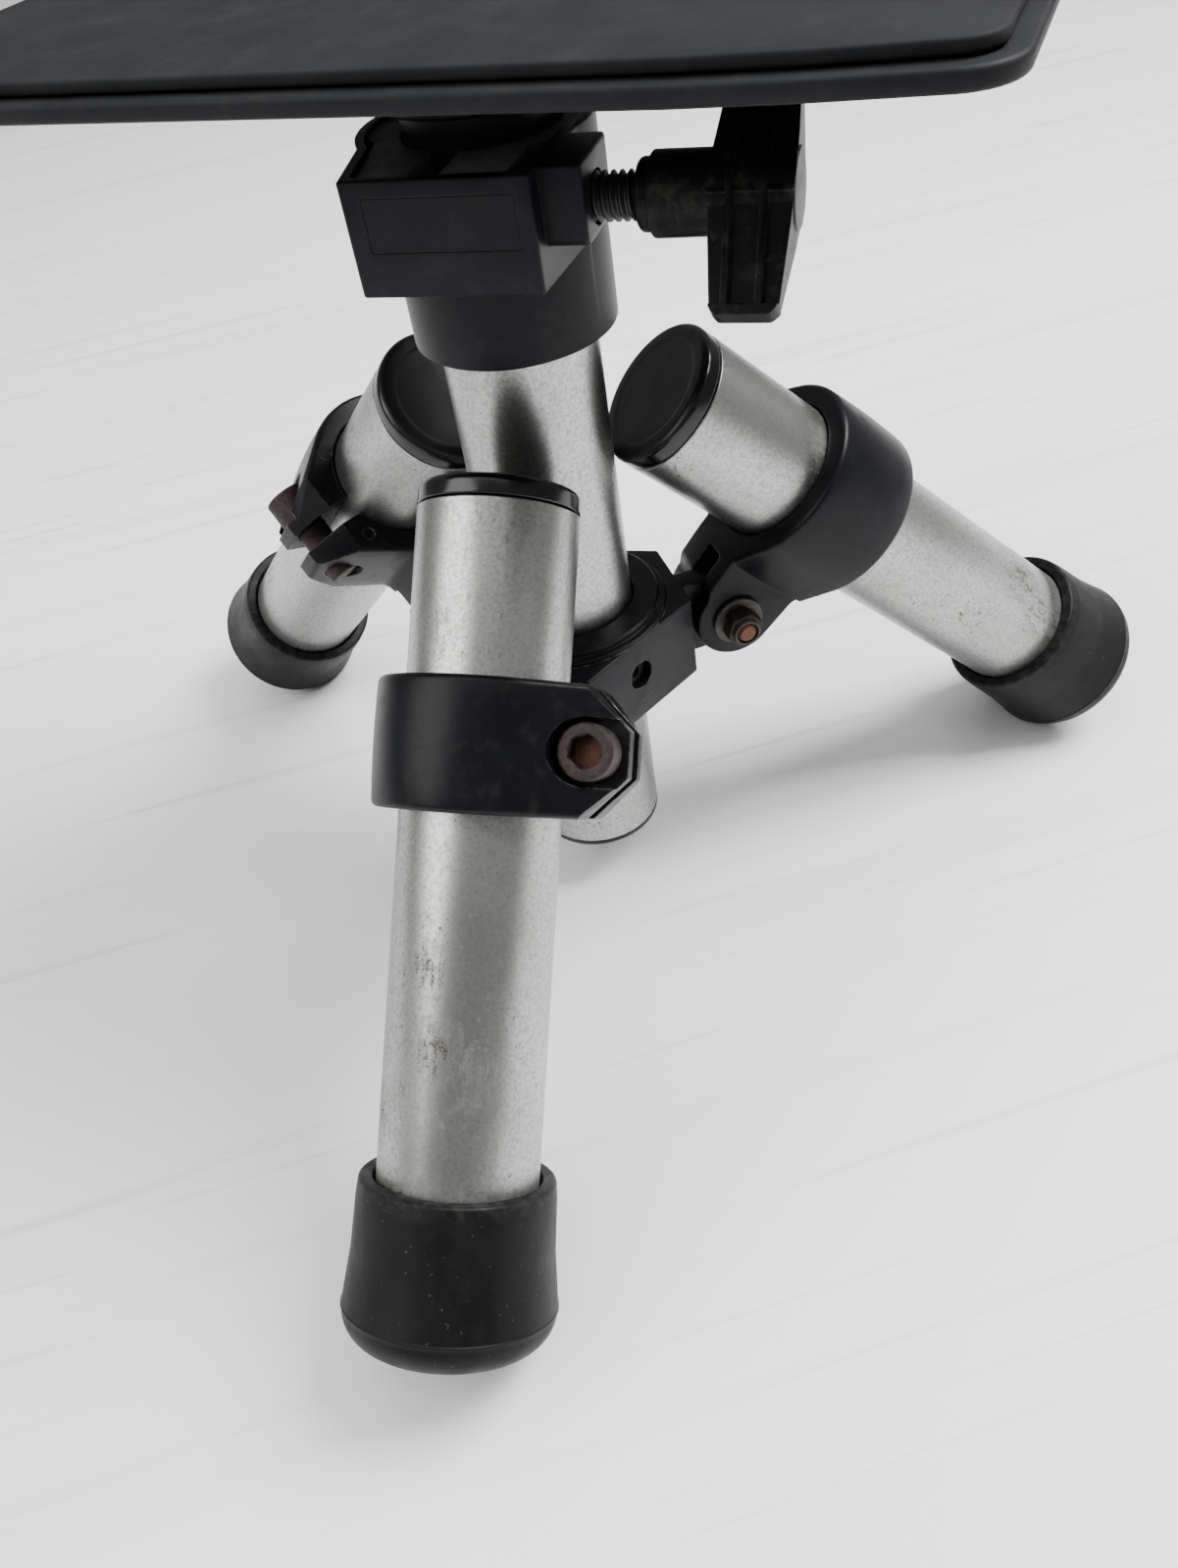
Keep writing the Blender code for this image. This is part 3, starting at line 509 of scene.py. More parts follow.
def gloss_cap():
    """Glossy black cap whose flat face is dulled by handling."""
    look = Look("gloss_cap")
    smear = look.noise(150, 6, 0.7, (1, 0.6, 1))
    flat_part = look.span(look.along("Z"), 3.6 * MM, 4.35 * MM)
    dull = look.math("MULTIPLY", flat_part, look.span(smear, 0.3, 0.65, 0.35, 1.0))
    shade = look.math("MULTIPLY", dull, 0.55)
    colour = look.blend(shade, (0.0025, 0.0025, 0.0032), (0.020, 0.0195, 0.0185))
    rough = look.math("ADD", look.span(smear, 0.3, 0.7, 0.16, 0.24), look.math("MULTIPLY", dull, 0.28))
    look.relief((look.noise(1700, 3), 0.06, 0.04))
    return look.finish(colour, rough, Specular_IOR_Level=0.4)


def rusty(name, rust, base, dark, light, spot=None):
    """Plated steel gone brown, pitted and crusted; spot is (centre, radius, colour) of a patch in a colour
    of its own.
    """
    look = Look(name)
    crust = look.noise(900, 8, 0.7)
    patches = look.noise(330, 6, 0.65)
    cover = look.span(patches, 0.62 - rust * 0.35, 0.72 - rust * 0.25)
    red = look.blend(look.span(crust, 0.43, 0.57), dark, light)
    grey = look.blend(look.span(crust, 0.3, 0.7), tuple(0.5 * c for c in base), base)
    colour = look.blend(cover, grey, red)
    # A patch of its own colour round one point: orange at the stud's end and in the bolt's socket, paler
    # grey-beige on the nut's end face.
    if spot:
        here = look.near(spot[0], spot[1], 0.3)
        spot_mix = look.math("MULTIPLY", here, look.span(crust, 0.3, 0.6, 0.35, 1.0))
        colour = look.blend(spot_mix, colour, spot[2])
    rough = look.span(crust, 0.3, 0.7, 0.48, 0.78)
    metal = look.math("SUBTRACT", 0.8, look.math("MULTIPLY", cover, 0.55))
    look.relief((crust, 0.45, 0.14), (patches, 0.25, 0.25), round_edges=0.2)
    return look.finish(colour, rough, metal)


def stepped(name, tone, rough, metallic):
    """Small dark hardware: fine noise only."""
    look = Look(name)
    grain = look.noise(1500, 5, 0.65)
    colour = look.blend(look.span(grain, 0.3, 0.7), tuple(0.6 * c for c in tone), tone)
    look.relief((grain, 0.2, 0.05), round_edges=0.15)
    return look.finish(colour, look.span(grain, 0.3, 0.7, rough - 0.08, rough + 0.1), metallic)


# -------------------------------------------------------------- placing things
def axes(x, y, z, at):
    """A placement in metres from three axes and a point in metres."""
    matrix = Matrix((x, y, z)).transposed().to_4x4()
    matrix.translation = at
    return matrix


def mm(x=0.0, y=0.0, z=0.0):
    return Matrix.Translation((x * MM, y * MM, z * MM))


COLUMN_AT = Vector(JOINTS["pole_slide"]["pos_m"])
PIN_Z = 70.7
FLOOR_LIFT = JOINTS["leg_a_fold"]["pos_m"][2] - PIN_Z * MM
STAND = Matrix.Translation((COLUMN_AT.x, COLUMN_AT.y, FLOOR_LIFT))
CLAMP_AXIS = Vector(JOINTS["clamp_feed"]["axis"])
HOUSING = axes(CLAMP_AXIS, Vector((-CLAMP_AXIS.y, CLAMP_AXIS.x, 0)), Vector((0, 0, 1)), STAND.translation)
CLAMP_AT = Vector(JOINTS["clamp_feed"]["pos_m"])
SCREW_LINE = HOUSING @ mm(0, -CLAMP_N, (CLAMP_AT.z - FLOOR_LIFT) / MM)
HEAD = STAND @ Matrix.Rotation(math.radians(PLATE_TURN), 4, "Z")


def leg_axes(name):
    pin = Vector(JOINTS[f"leg_{name}_fold"]["axis"])
    down = Vector(JOINTS[f"leg_{name}_slide"]["axis"])
    return axes(pin, down.cross(pin), down, Vector(JOINTS[f"leg_{name}_fold"]["pos_m"]))


LEG_AT = {name: leg_axes(name) for name in LEGS}
ON_LEG = mm(0, RING_RISE, RING_SHIFT + CAP_START)
FLIP = Matrix.Rotation(math.pi, 4, "X")
UP_TO_PIN = Matrix.Rotation(math.pi / 2, 4, "Y")


def show(shape, name, at, body, look, slot, *nodes):
    """A copy of a shape as a piece that stands for some CAD nodes and rides on their body."""
    obj = new_object(name, shape.data)
    obj.matrix_world = at
    if not obj.data.materials:
        obj.data.materials.append(None)
    obj.material_slots[0].link = "OBJECT"
    obj.material_slots[0].material = look
    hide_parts(*nodes)
    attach(obj, body)
    return obj


def paint(node, look):
    """A CAD node that keeps its shape gets a better material."""
    obj = frame["nodes"][node]
    obj.data.materials.clear()
    obj.data.materials.append(look)


CASTING = black_casting("black_casting")
HUB_LOOK = black_casting("hub_casting", 0.6, 0.4)
BOLT_LOOK = rusty(
    "rusty_steel", 0.8, base=(0.050, 0.046, 0.045), dark=(0.008, 0.005, 0.0045), light=(0.050, 0.024, 0.018),
    spot=((0, 0, 4.2), 3.4, (0.095, 0.034, 0.013)),
)
NUT_LOOK = rusty(
    "nut_steel", 0.2, base=(0.045, 0.042, 0.030), dark=(0.018, 0.012, 0.009), light=(0.050, 0.034, 0.024),
    spot=((0, 0, -16.5), 3.9, (0.085, 0.078, 0.060)),
)
STUD_LOOK = rusty(
    "stud_steel", 0.5, base=(0.07, 0.065, 0.05), dark=(0.020, 0.012, 0.009), light=(0.075, 0.040, 0.026),
    spot=((0, 0, -17.0), 2.9, (0.15, 0.066, 0.036)),
)
WASHER_LOOK = rusty(
    "washer_steel", 0.45, base=(0.105, 0.10, 0.082), dark=(0.020, 0.014, 0.011), light=(0.055, 0.042, 0.034)
)
DARK_STEEL = stepped("black_steel", (0.035, 0.034, 0.032), 0.45, 0.7)
CAP_LOOK = gloss_cap()
FOOT_LOOK = foot_rubber()
HOUSING_LOOK = moulding(
    "housing_plastic", (0.0042, 0.0045, 0.0060), (0.0062, 0.0066, 0.0084), (0.36, 0.46), 0.06
)
RING_LOOK = moulding(
    "grey_moulding", (0.095, 0.10, 0.10), (0.17, 0.175, 0.17), (0.42, 0.58), 0.5, (0.30, 0.30, 0.28)
)
KNOB_LOOK = moulding(
    "knob_plastic", (0.0022, 0.0024, 0.0026), (0.0040, 0.0043, 0.0045), (0.34, 0.46), 0.3,
    dust_tone=(0.085, 0.083, 0.065), edge=0.35, rub=0.8,
)
LABEL_LOOK = moulding("label", (0.0046, 0.0049, 0.0064), (0.0060, 0.0064, 0.0082), (0.30, 0.36), 0.04)
PLATE_LOOK = moulding("plate_paint", (0.0075, 0.0080, 0.0090), (0.0110, 0.0115, 0.0125), (0.5, 0.6), 0.06)
MAT_LOOK = moulding("mat_rubber", (0.0085, 0.0090, 0.0100), (0.0125, 0.0130, 0.0140), (0.62, 0.75), 0.06)
NYLON_LOOK = moulding("nylon", (0.42, 0.42, 0.38), (0.55, 0.55, 0.50), (0.4, 0.5), 0.1, (0.3, 0.28, 0.22))
POLE_LOOK = moulding("pole_black", (0.010, 0.0105, 0.0115), (0.016, 0.0165, 0.018), (0.32, 0.42), 0.1)
COLUMN_LOOK = satin_tube("column_metal", (((2, 16, 40), 9, 0.5), ((16, 0, 120), 7, 0.4)))
# Each stain is (centre in the tube's own axes, radius, strength).
LEG_STAINS = {
    "a": (
        ((-14.5, 7, 63), 5.5, 1.0), ((-3, 15.7, 88), 5.0, 0.9), ((0, 16, 103), 6.0, 1.0),
        ((7, 14.5, 108), 5.0, 0.8), ((-13.5, 8.5, 117), 6.0, 0.9), ((-7, 14.4, 112), 4.5, 0.6),
        ((9, 13.2, 28), 6.0, 0.5), ((-6, 14.8, 25), 5.0, 0.5),
    ),
    "b": (((-9, 13, 112), 8.0, 1.0), ((-14, 8, 120), 6.0, 0.9), ((-12, 11, 30), 5.0, 0.4)),
    "c": (((10, 12, 110), 7.0, 0.8), ((12, 10, 20), 6.0, 0.6)),
}

# ---------------------------------------------------------------- the column
column = turned("column_shape", tube(TUBE_R, TUBE_INNER, *COLUMN))
show(column, "column_tube_fine", STAND, "stand", COLUMN_LOOK, "satin_tube", "column_tube")
insert = TUBE_INNER - GAP
plug = turned(
    "plug_shape",
    [
        (0, 24), (insert, 24, 0.5), (insert, COLUMN[0] - GAP), (TUBE_R, COLUMN[0] - GAP, 0.3),
        (TUBE_R, PLUG_LOW, 0.8), (0, PLUG_LOW),
    ],
    closed=False,
)
show(plug, "column_plug_fine", STAND, "stand", CAP_LOOK, "gloss_cap", "column_end_plug")


# ------------------------------------------------------------------- the hub
def hub_arm(turn):
    """A tongue that takes a hinge pin, and the two holes beside it, turned to one leg."""
    low, high = HUB[0] + 0.8, HUB[1] - 0.8
    nose = arc(TONGUE_R, 70, -70, 5, (PIN_RADIUS, PIN_Z))
    side_view = [(20, high), (HUB_SHOULDER + 3, high), *nose, (HUB_SHOULDER + 3, low), (20, low)]
    tongue = flat("tongue", [(z, x) for x, z in side_view], *TONGUE, axis="Y", edge=0.35, segments=2)
    pin_hole = cylinder("pin_hole", PIN_HOLE_R, -20, 20, "Y", (PIN_RADIUS, 0, PIN_Z))
    radius, side, z = SET_SCREW_HOLE
    screw_hole = cylinder("screw_hole", radius, 10, 40, "X", (0, side, z))
    screw_turn = turn @ Matrix.Rotation(math.pi / 3, 4, "Z")
    return moved(tongue, turn), moved(pin_hole, turn), moved(screw_hole, screw_turn)


def hub_shape():
    """Three flats joined round a stepped collar, with an arm for each leg."""
    half = (HUB_FLAT - HUB_SHOULDER * math.cos(math.radians(60))) / math.sin(math.radians(60))
    outline = []
    arms = []
    for name in LEGS:
        pin = Vector(JOINTS[f"leg_{name}_fold"]["pos_m"]) / MM - STAND.translation / MM
        turn = Matrix.Rotation(math.atan2(pin.y, pin.x), 4, "Z")
        for side in (-half, half):
            corner = turn @ Vector((HUB_SHOULDER, side, 0))
            outline.append((corner.x, corner.y, 0.7))
        arms.append(hub_arm(turn))
    tongues, pin_holes, screw_holes = zip(*arms)
    body = flat("hub_shape", outline, *HUB, edge=0.5)
    collar = turned(
        "collar",
        [(0, 84.3), (22.3, 84.3, 0.5), (22.3, 82.6, 0.3), (24.1, 82.6, 0.6), (24.1, 65), (0, 65)],
        closed=False,
    )
    inner = TUBE_R + GAP
    bore = turned(
        "bore",
        [(0, 90), (18.3, 90), (inner, 83.2, 1.0), (inner, 61, 0.6), (18.0, 55), (0, 55)],
        closed=False,
    )
    return combine(body, add=[collar, *tongues], cut=[bore, *pin_holes, *screw_holes])


show(hub_shape(), "hub_fine", STAND, "stand", HUB_LOOK, "black_casting", "hub")
for name in LEGS:
    paint(f"hub_set_screw_{name}", DARK_STEEL)


# ------------------------------------------------------------------ the legs
def tangent(point, radius, side):
    away = math.hypot(*point)
    return math.degrees(math.atan2(point[1], point[0]) + side * math.acos(radius / away))


def bracket_shape():
    """The split ring, its two ears and the fork, about the hinge pin."""
    upper = (EAR_END, EAR_MID + EAR_TIP_HALF)
    lower = (EAR_END, EAR_MID - EAR_TIP_HALF)
    fork = (-FORK_HALF, FORK_ROOT + 0.8)
    below = math.radians(tangent(lower, RING_R, -1))
    outline = [(*upper, 1.9), *arc(RING_R, tangent(upper, RING_R, 1), 360 + tangent(fork, RING_R, -1))]
    outline += [fork, (FORK_HALF, FORK_ROOT + 0.8)]
    outline += [(RING_R * math.cos(below), RING_R * math.sin(below), 3), (*lower, 1.9)]
    ring_at = Matrix.Translation((0, RING_RISE, RING_SHIFT))
    ring = moved(crowned("bracket_shape", outline, RING_HALF, 0.35, 1.2), ring_at)
    top = RING_RISE - 12
    near, far = RING_SHIFT - RING_HALF, RING_SHIFT + RING_HALF
    side_view = [(near, top), (near, RING_RISE - 22, 1.5), (-11.6, 2.4, 4), *arc(10.0, 180, 360, 5)]
    side_view += [(10.4, RING_RISE - 22.5, 3), (far, RING_RISE - 19, 2), (far, top)]
    side_view = [(y, z, *more) for z, y, *more in side_view]
    cheeks = flat("cheeks", side_view, -FORK_HALF, FORK_HALF, axis="X", edge=0.5)
    reach = RING_HALF + 2
    inner, mouth, lip = TUBE_R + GAP, TUBE_R + 2.3, RING_HALF - 0.5
    bore = turned(
        "bore",
        [(0, reach), (mouth, reach), (inner, lip, 0.5), (inner, -lip, 0.5), (mouth, -reach), (0, -reach)],
        closed=False,
    )
    split = block("split", (10, EAR_MID - EAR_GAP, -30), (45, EAR_MID + EAR_GAP, 30))
    left, right = FORK_GAP
    root = RING_RISE + FORK_ROOT
    fork_gap = flat("fork_gap", [(left, -20), (right, -20), (right, root, 1.0), (left, root, 1.0)], -30, 30)
    seat = cylinder("seat", SEAT_R, BOLT_SEAT, 30, "Y", (BOLT_H, 0, 0))
    seat_open = block("seat_open", (BOLT_H, BOLT_SEAT, -SEAT_HALF), (45, 30, SEAT_HALF))
    bolt_hole = cylinder("bolt_hole", 4.2, -20, 20, "Y", (BOLT_H, 0, 0))
    cutters = [moved(c, ring_at) for c in (bore, split, seat, seat_open, bolt_hole)]
    for side in (-1, 1):
        wedge = [
            (side * RING_HALF, EAR_END - EAR_CHAMFER),
            (side * (RING_HALF - EAR_CHAMFER - 2), EAR_END + 2),
            (side * RING_HALF * 1.5, EAR_END + 2),
            (side * RING_HALF * 1.5, EAR_END - EAR_CHAMFER),
        ]
        cutters.append(moved(flat("ear_chamfer", wedge, -20, 20, axis="Y"), ring_at))
    for h, n in ((13.7, 12.3), (17.6, -9.4)):
        mark = cylinder("ejector_mark", 1.5, -RING_HALF - 1, -RING_HALF + 0.25, at=(h, n, 0), steps=32)
        cutters.append(moved(mark, ring_at))
    cutters.append(cylinder("dent", 1.3, -FORK_HALF - 1, -FORK_HALF + 0.5, "X", (0, 13.5, 0.5), 32))
    cutters += [fork_gap, cylinder("pin_hole", PIN_HOLE_R, -20, 20, "X")]
    return combine(ring, add=[cheeks], cut=cutters)


def foot_profile():
    """Rubber cup seen from the side: rim, slight flare, moulding seam, rounded sole."""
    sole = FOOT_RIM - FOOT_SEAM - 7.0
    floor = FOOT_RIM - LEG_TUBE_END - GAP
    seam = FOOT_RIM - FOOT_SEAM
    return [
        (TUBE_R + 0.7, 0, 0.5), (19.3, 0, 0.9), (19.65, -3.5, 3), (20.0, -14, 20),
        (21.15, seam + 0.35, 0.3), (21.3, seam + 0.2), (21.3, seam - 0.1),
        *arc(6.6, 0, -90, 6, (14.5, sole + 6.6)),
        (13.6, sole, 0.2), (13.1, sole + 0.5, 0.2), (0, sole + 0.5),
        (0, floor), (TUBE_R + GAP, floor), (TUBE_R + GAP, -1.2, 1),
    ]


def stud_end(length, radius, pitch):
    """A stud's end with turned thread rings and a chamfer."""
    rings = [(0, 0), (radius - 0.7, 0), (radius - 0.1, -0.7)]
    z = -0.7
    while z > -length:
        root = radius - 0.35
        rings += [(radius, z - pitch * 0.25), (root, z - pitch * 0.6), (root, z - pitch * 0.75)]
        rings.append((radius, z - pitch))
        z -= pitch
    return [*rings, (0, z - pitch)]


BRACKET = bracket_shape()
LEG_TUBE = turned("leg_tube_shape", tube(TUBE_R, TUBE_INNER, 0, LEG_TUBE_END))
CAP = turned(
    "cap_shape",
    [
        (0, 4.35), (11.8, 4.35, 0.8), (12.6, 4.5, 1.0), (TUBE_R, 4.5, 2.6),
        (TUBE_R, 0.3, 0.4), (insert, 0.3), (insert, -8, 0.6), (0, -8),
    ],
    closed=False,
)
FOOT = turned("foot_shape", foot_profile())
BOLT = turned(
    "clamp_bolt_shape",
    [
        (0, HEAD_TALL), (BOLT_HEAD_R, HEAD_TALL, 0.8), (BOLT_HEAD_R, 0, 0.2),
        (3.9, 0, 0.2), (3.9, -17, 0.7), (0, -17),
    ],
    closed=False, steps=64,
)
key_mouth = turned(
    "key_mouth", [(0, 9), (4.4, 9), (3.1, HEAD_TALL - 0.35), (0, HEAD_TALL - 2)], closed=False, steps=48
)
key = combine(flat("key", hexagon(6.0), HEAD_TALL - 4.0, HEAD_TALL + 1), add=[key_mouth])
combine(BOLT, cut=[key])
NEAR = -FORK_HALF - GAP
FAR = FORK_HALF + GAP
NUT_TOP = NEAR - WASHER_THICK - GAP
NUT_HEX = NUT_TOP - 3.9
NUT_END = NUT_TOP - NUT_TALL
crown = turned(
    "crown",
    [
        (0, NUT_HEX - 1), (3.7, NUT_HEX - 1), (4.62, NUT_HEX + 0.6, 0.6),
        (4.62, NUT_TOP + 1), (0, NUT_TOP + 1),
    ],
    closed=False,
)
NUT = combine(flat("hinge_nut_shape", hexagon(HEX_ACROSS), NUT_HEX, NUT_TOP), keep=[crown])
collar = turned(
    "collar", [(0, NUT_END), (3.3, NUT_END, 0.5), (3.5, NUT_TOP - 1), (0, NUT_TOP - 1)], closed=False
)
combine(NUT, add=[collar], cut=[cylinder("nut_hole", PIN_HOLE_R, -30, 0)])
stud = turned("stud", [(r, -16.8 - z) for r, z in stud_end(5, 2.45, 0.8)], closed=False, steps=48)
HEAD_START = FAR + WASHER_THICK + GAP
HINGE_BOLT = combine(
    flat("hinge_bolt_shape", hexagon(HEX_ACROSS), HEAD_START, HEAD_START + 3.5, edge=0.4),
    add=[cylinder("shank", 2.4, -12.5, FAR + 3, steps=48), stud],
)
WASHER = turned("washer_shape", tube(WASHER_R, PIN_HOLE_R, 0, WASHER_THICK, 0.3), steps=96)

def show_leg(name):
    """One leg's pieces: the bracket and its hardware on the fork, the tube's own on the slider."""
    at = LEG_AT[name]
    fork, slider = f"leg_{name}_fork", f"leg_{name}_slider"
    metal = satin_tube(f"leg_{name}_metal", LEG_STAINS[name], 0.6)
    bolt_at = at @ mm(BOLT_H, RING_RISE + BOLT_SEAT + GAP, RING_SHIFT)
    bolt_at = bolt_at @ Matrix.Rotation(-math.pi / 2, 4, "X") @ Matrix.Rotation(0.35, 4, "Z")
    pin_at = at @ UP_TO_PIN
    tube_at = at @ ON_LEG
    foot_at = tube_at @ mm(0, 0, FOOT_RIM) @ FLIP
    steel = "dull_steel"
    show(BRACKET, f"bracket_{name}", at, fork, CASTING, "black_casting", f"leg_{name}_bracket")
    show(BOLT, f"clamp_bolt_{name}", bolt_at, fork, BOLT_LOOK, "rusty_steel", f"leg_{name}_clamp_bolt")
    show(HINGE_BOLT, f"hinge_bolt_{name}", pin_at, fork, STUD_LOOK, steel, f"leg_{name}_hinge_bolt")
    show(NUT, f"hinge_nut_{name}", pin_at, fork, NUT_LOOK, steel, f"leg_{name}_hinge_nut")
    for where, start in (("near", NEAR - WASHER_THICK), ("far", FAR)):
        washer_at = at @ mm(start) @ UP_TO_PIN
        node = f"leg_{name}_washer_{where}"
        show(WASHER, f"washer_{where}_{name}", washer_at, fork, WASHER_LOOK, steel, node)
    show(LEG_TUBE, f"tube_{name}", tube_at, slider, metal, "satin_tube", f"leg_{name}_tube")
    show(CAP, f"cap_{name}", tube_at @ FLIP, slider, CAP_LOOK, "gloss_cap", f"leg_{name}_cap")
    show(FOOT, f"foot_{name}", foot_at, slider, FOOT_LOOK, "rubber", f"leg_{name}_foot")


for name in LEGS:
    show_leg(name)


# -------------------------------------------------------------- clamp housing
def label_outline(margin):
    left, right, low, top = -12.0 + margin, 15.2 - margin, 176.5 + margin, 185.5 - margin
    return [(left, low, 0.6), (right, low, 0.6), (right, top, 0.6), (left, top, 0.6)]


def stand_up(obj):
    """Turns an outline drawn as (across, up) from lying flat to standing."""
    obj.data.transform(Matrix(((1, 0, 0, 0), (0, 0, 1, 0), (0, 1, 0, 0), (0, 0, 0, 1))))
    bm = bmesh.new()
    bm.from_mesh(obj.data)
    outwards(bm)
    bm.to_mesh(obj.data)
    bm.free()
    return obj


def housing_shape():
    sleeve = turned(
        "housing_shape", [(0, BOX[1]), (20.4, BOX[1], 0.6), (20.4, 150.4, 0.7), (0, 150.4)], closed=False
    )
    bulge = flat("bulge", [(1, -22.9), (1, 22.9), *arc(22.9, 92.5, 267.5)], *BOX)
    front = [(-15.7, -29.8, 0.8), (18.0, -29.8, 0.8), (19.6, -4), (0, 4), (-20.5, -6)]
    box = flat("box", front, *BOX, edge=0.5)
    profile = [(-26.0, BOX[1]), (-26.0, 175.0, 2.0), (-15.0, 175.0, 3), (-11.2, 177.5, 3)]
    profile += [(-10.0, 181.0, 3), (-10.0, BOX[1])]
    boss = flat("boss", profile, 10.0, 25.6, axis="X", edge=0.7)
    low = 171.1
    top = BOX[1] + 5
    cutters = [
        cylinder("bore", TUBE_R + GAP, 140, COLUMN[1] + GAP, steps=STEPS),
        cylinder("throat", 15.2, 150, top, steps=STEPS),
        cylinder("ring_space", 18.9, low, top, steps=STEPS),
        flat("wide_space", [(0.7, -21.3), (0.7, 21.3), *arc(21.3, 92, 268)], low, top),
        flat("ear_space", [(-13.9, -27.9, 1), (16.2, -27.9, 1), (17.4, -4), (0, 4), (-18.4, -6)], low, top),
        cylinder("screw_hole", 4.4, 14, 30, "X", (0, -CLAMP_N, 180.5)),
        flat("label_recess", label_outline(0.0), -35, -28.9),
    ]
    stand_up(cutters[-1])
    return combine(sleeve, add=[bulge, box, boss], cut=cutters)


def ring_shape():
    inner = 14.8
    left = math.degrees(math.atan2(-math.sqrt(inner**2 - 4.6**2), -4.6))
    right = math.degrees(math.atan2(-math.sqrt(inner**2 - 1), 1)) - 360
    outline = [(-4.5, -27.5, 0.8), *arc(inner, left, right)]
    outline += [(1.2, -26.8, 0.8), (13.2, -26.8, 0.8), (13.2, -13.0, 1)]
    outline += [*arc(18.6, -44, 90), *arc(21.0, 95, 196), (-17.6, -8.0, 1), (-13.6, -27.5, 0.8)]
    return flat("ring_shape", outline, 171.4, 187.6, edge=0.4)


show(housing_shape(), "housing_fine", HOUSING, "stand", HOUSING_LOOK, "moulded_black", "clamp_housing")
show(ring_shape(), "split_ring_fine", HOUSING, "stand", RING_LOOK, "grey_moulding", "clamp_split_ring")
label = stand_up(flat("label_shape", label_outline(0.06), -29.74, -28.96))
show(label, "label_fine", HOUSING, "stand", LABEL_LOOK, "label", "label_plate")
paint("clamp_pad", NYLON_LOOK)


def threaded_rod(radius, low, high, pitch):
    """A rod with a real helical thread over its whole length, as one closed mesh."""
    around, per_turn, depth = 64, 14, 0.7
    count = int((high - low) / pitch * per_turn)
    bm = bmesh.new()
    rings = []
    for row in range(count + 1):
        z = low + (high - low) * row / count
        ring = []
        for step in range(around):
            phase = (z / pitch - step / around) % 1.0
            flank = min(1.0, max(0.0, (abs(phase - 0.5) - 0.09) / 0.32))
            fade = max(0.0, 1 - (z - low) / 1.0)
            r = radius - depth * max(flank, fade)
            angle = 2 * math.pi * step / around
            ring.append(bm.verts.new((r * math.cos(angle), r * math.sin(angle), z)))
        rings.append(ring)
    for under, over in zip(rings, rings[1:]):
        for i in range(around):
            bm.faces.new((under[i - 1], under[i], over[i], over[i - 1]))
    bm.faces.new(list(reversed(rings[0])))
    bm.faces.new(rings[-1])
    return bake(as_object(bm, "rod_shape"), 30)


def knob_shape():
    """Barrel with a T-handle: webs between lengthwise ribs and end walls."""
    barrel = turned(
        "knob_shape",
        [(0, 59.3), (6.5, 59.3, 0.7), (6.7, 35.3, 0.5), (5.75, 35.2), (5.75, 33.0, 0.9), (0, 33.0)],
        closed=False, steps=96,
    )
    half = [(58.8, 8.0, 5), (57.8, 19.2, 2), (56.4, 20.6, 1), (47.6, 20.6, 1.2), (46.4, 19.4, 1)]
    outline = [(x, -z, r) for x, z, r in reversed(half)] + [(59.3, 0.0, 8)] + half + [(45.0, 0.0, 8)]
    wing = flat("wing", outline, -8, 8, axis="Y", edge=0.5)
    thick, thin = 6.2, 1.6
    upper = [(22, thin), (3, thick), (-3, thick), (-22, thin)]
    taper = [(-x, -y) for x, y in upper] + upper
    combine(wing, keep=[flat("taper", taper, 40, 65, edge=0.5)])
    pockets = []
    deep, wall = 1.0, 19.0
    at_wall = thick - (wall - 3) * (thick - thin) / 19 - deep
    for face in (-1, 1):
        for side in (-1, 1):
            recess = [(3, thick - deep), (wall, at_wall), (wall, 9), (3, 9)]
            recess = [(side * x, face * y) for x, y in recess]
            for low, high in ((40, 48.3), (49.5, 53.9), (55.1, 65)):
                pockets.append(flat("pocket", recess, low, high))
    combine(wing, cut=pockets)
    bands = []
    for low, high in ((48.35, 49.45), (53.95, 55.05)):
        ring = [(0, low), (7.0, low, 0.3), (7.0, high, 0.3), (0, high)]
        bands.append(turned("band", ring, closed=False, steps=96))
    combine(barrel, add=[wing, *bands], cut=[cylinder("knob_hole", 4.3, 30, 42.3)])
    return barrel


rod = threaded_rod(ROD_R, 15.6, 42.0, THREAD_PITCH)
TURN_TO_X = Matrix.Rotation(math.pi / 2, 4, "Y")
show(rod, "rod_fine", SCREW_LINE @ TURN_TO_X, "knob", DARK_STEEL, "black_steel", "clamp_screw")
knob_at = SCREW_LINE @ Matrix.Rotation(math.radians(WING_TILT), 4, "X") @ TURN_TO_X
show(knob_shape(), "knob_fine", knob_at, "knob", KNOB_LOOK, "moulded_black", "clamp_knob")

# -------------------------------------------------------------- pole and head
pole = turned("pole_shape", tube(14.5, 13.0, 30.0, 201.5))
show(pole, "pole_fine", STAND, "pole", POLE_LOOK, "dark_tube", "pole_tube")
paint("pole_guide_bush", NYLON_LOOK)
socket = turned(
    "socket_shape",
    [
        (0, 205.0), (30, 205.0, 0.5), (30, 202.3, 0.5), (18.0, 202.3, 1.5),
        (18.0, 193.0, 0.9), (14.8, 193.0, 0.3), (14.8, 201.8), (0, 201.8),
    ],
)
grub_way = cylinder("grub_way", 3.5, 10, 25, "Y", (0, 0, 197.5))
combine(socket, cut=[grub_way])
show(socket, "socket_fine", HEAD, "head", HOUSING_LOOK, "moulded_black", "head_socket")
paint("head_set_screw", DARK_STEEL)
for index in range(1, 5):
    paint(f"plate_screw_{index}", DARK_STEEL)


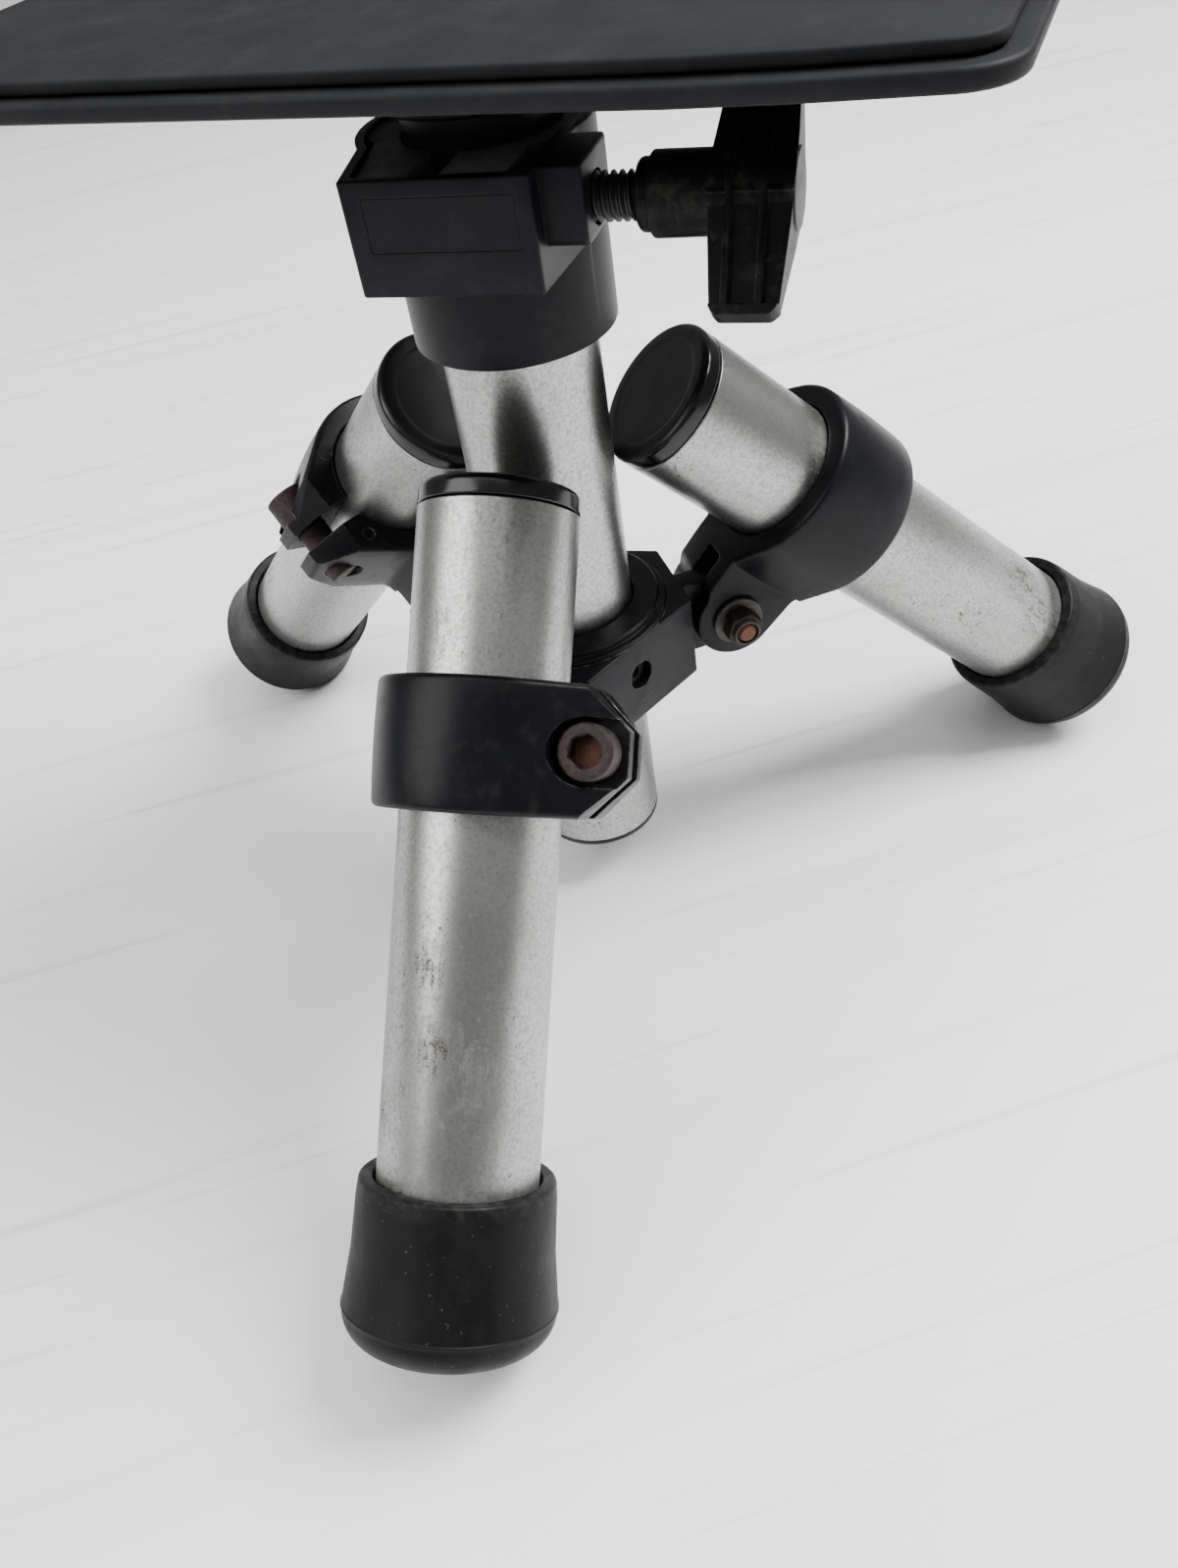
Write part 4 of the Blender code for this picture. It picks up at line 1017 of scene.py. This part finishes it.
def plate_outline(margin, corner):
    half_x = 97.0 - margin
    half_y = 56.3 - margin
    quarter = [(55.0, half_y), (72.0, half_y - 1.0, 60), (half_x, half_y - 3.9, corner)]
    right = [(x, -y, *more) for x, y, *more in quarter]
    left = [(-x, y, *more) for x, y, *more in right]
    behind = [(x, y + PLATE_BEHIND, *more) for x, y, *more in quarter]
    behind_left = [(-x, y, *more) for x, y, *more in behind]
    return right + list(reversed(behind)) + behind_left + list(reversed(left))


plate = flat("plate_shape", plate_outline(0, 9.0), 205.3, 208.3, edge=0.8)
show(plate, "plate_fine", HEAD, "head", PLATE_LOOK, "plate_paint", "speaker_plate")
mat = flat("mat_shape", plate_outline(3.0, 6.0), 208.6, 210.6, edge=0.5)
show(mat, "mat_fine", HEAD, "head", MAT_LOOK, "mat_rubber", "plate_mat")

for shape in [o for o in bpy.data.objects if o.name.endswith("_shape") and o.parent is None]:
    bpy.data.objects.remove(shape, do_unlink=True)


# -------------------------------------------------------- floor, light, camera
def floor_look():
    """White board with very faint, long grain streaks."""
    look = Look("floor_white")
    turn = look.node("ShaderNodeMapping")
    turn.inputs["Rotation"].default_value = (0, 0, math.radians(-28))
    look.link(look.here, turn.inputs["Vector"])
    streak = look.noise(55, 5, 0.6, (0.035, 1, 1), 0.3, turn.outputs[0])
    lines = look.noise(160, 4, 0.6, (0.02, 1, 1), 0.2, turn.outputs[0])
    tone = look.blend(look.span(streak, 0.55, 0.68, 0.0, 0.6), (0.90, 0.90, 0.91), (0.78, 0.765, 0.74))
    tone = look.blend(look.span(lines, 0.60, 0.70, 0.0, 0.6), tone, (0.66, 0.63, 0.58))
    look.relief((lines, 0.05, 0.05))
    return look.finish(tone, 0.45)


bpy.ops.mesh.primitive_plane_add(size=6.0, location=(0, 0, 0))
floor = bpy.context.object
floor.name = "floor"
floor.data.materials.append(floor_look())

world = bpy.data.worlds.new("studio")
bpy.context.scene.world = world
world.use_nodes = True
sky = world.node_tree
background = sky.nodes["Background"]
background.inputs["Strength"].default_value = 0.42
direction = sky.nodes.new("ShaderNodeTexCoord")
split_dir = sky.nodes.new("ShaderNodeSeparateXYZ")
sky.links.new(direction.outputs["Generated"], split_dir.inputs[0])
height = sky.nodes.new("ShaderNodeMapRange")
height.inputs["From Min"].default_value = -0.1
height.inputs["From Max"].default_value = 0.9
height.inputs["To Min"].default_value = 0.55
height.inputs["To Max"].default_value = 1.0
sky.links.new(split_dir.outputs["Z"], height.inputs["Value"])
sky.links.new(height.outputs["Result"], background.inputs["Color"])


def area_light(name, at, target, size, power, colour=(1, 1, 1)):
    lamp = bpy.data.lights.new(name, "AREA")
    lamp.shape = "RECTANGLE"
    lamp.size, lamp.size_y = size
    lamp.energy = power
    lamp.color = colour
    obj = bpy.data.objects.new(name, lamp)
    bpy.context.scene.collection.objects.link(obj)
    obj.location = at
    obj.rotation_euler = (Vector(target) - Vector(at)).to_track_quat("-Z", "Y").to_euler()


area_light("key", (0.7, 0.35, 1.1), (0, 0, 0.05), (0.6, 0.6), 34.0)
area_light("ceiling", (0.0, 0.15, 1.7), (0, 0.05, 0), (1.8, 1.8), 22.0)
area_light("fill", (-0.8, -0.6, 0.9), (0, 0, 0.1), (0.9, 0.9), 13.0)

# The lens and place are in millimetres, from the column's axis; the turns are in degrees.
CAMERA = {
    "lens": 28.2526, "at": (78.395, -228.228, 252.209), "yaw": 19.417, "pitch": 43.558, "roll": -10.128,
}


def add_camera():
    """The viewpoint: yaw about the vertical, pitch down, then roll about the view axis."""
    yaw, pitch, roll = (math.radians(CAMERA[key]) for key in ("yaw", "pitch", "roll"))
    right = Vector((math.cos(yaw), math.sin(yaw), 0))
    forward = Vector((-math.sin(yaw) * math.cos(pitch), math.cos(yaw) * math.cos(pitch), -math.sin(pitch)))
    up = right.cross(forward)
    across = right * math.cos(roll) + up * math.sin(roll)
    upward = up * math.cos(roll) - right * math.sin(roll)
    data = bpy.data.cameras.new("view")
    data.lens = CAMERA["lens"]
    data.sensor_width = 36.0
    data.clip_start = 0.01
    obj = bpy.data.objects.new("view", data)
    bpy.context.scene.collection.objects.link(obj)
    x, y, z = CAMERA["at"]
    obj.matrix_world = axes(across, upward, -forward, Vector((x * MM, y * MM + COLUMN_AT.y, z * MM)))
    bpy.context.scene.camera = obj


add_camera()
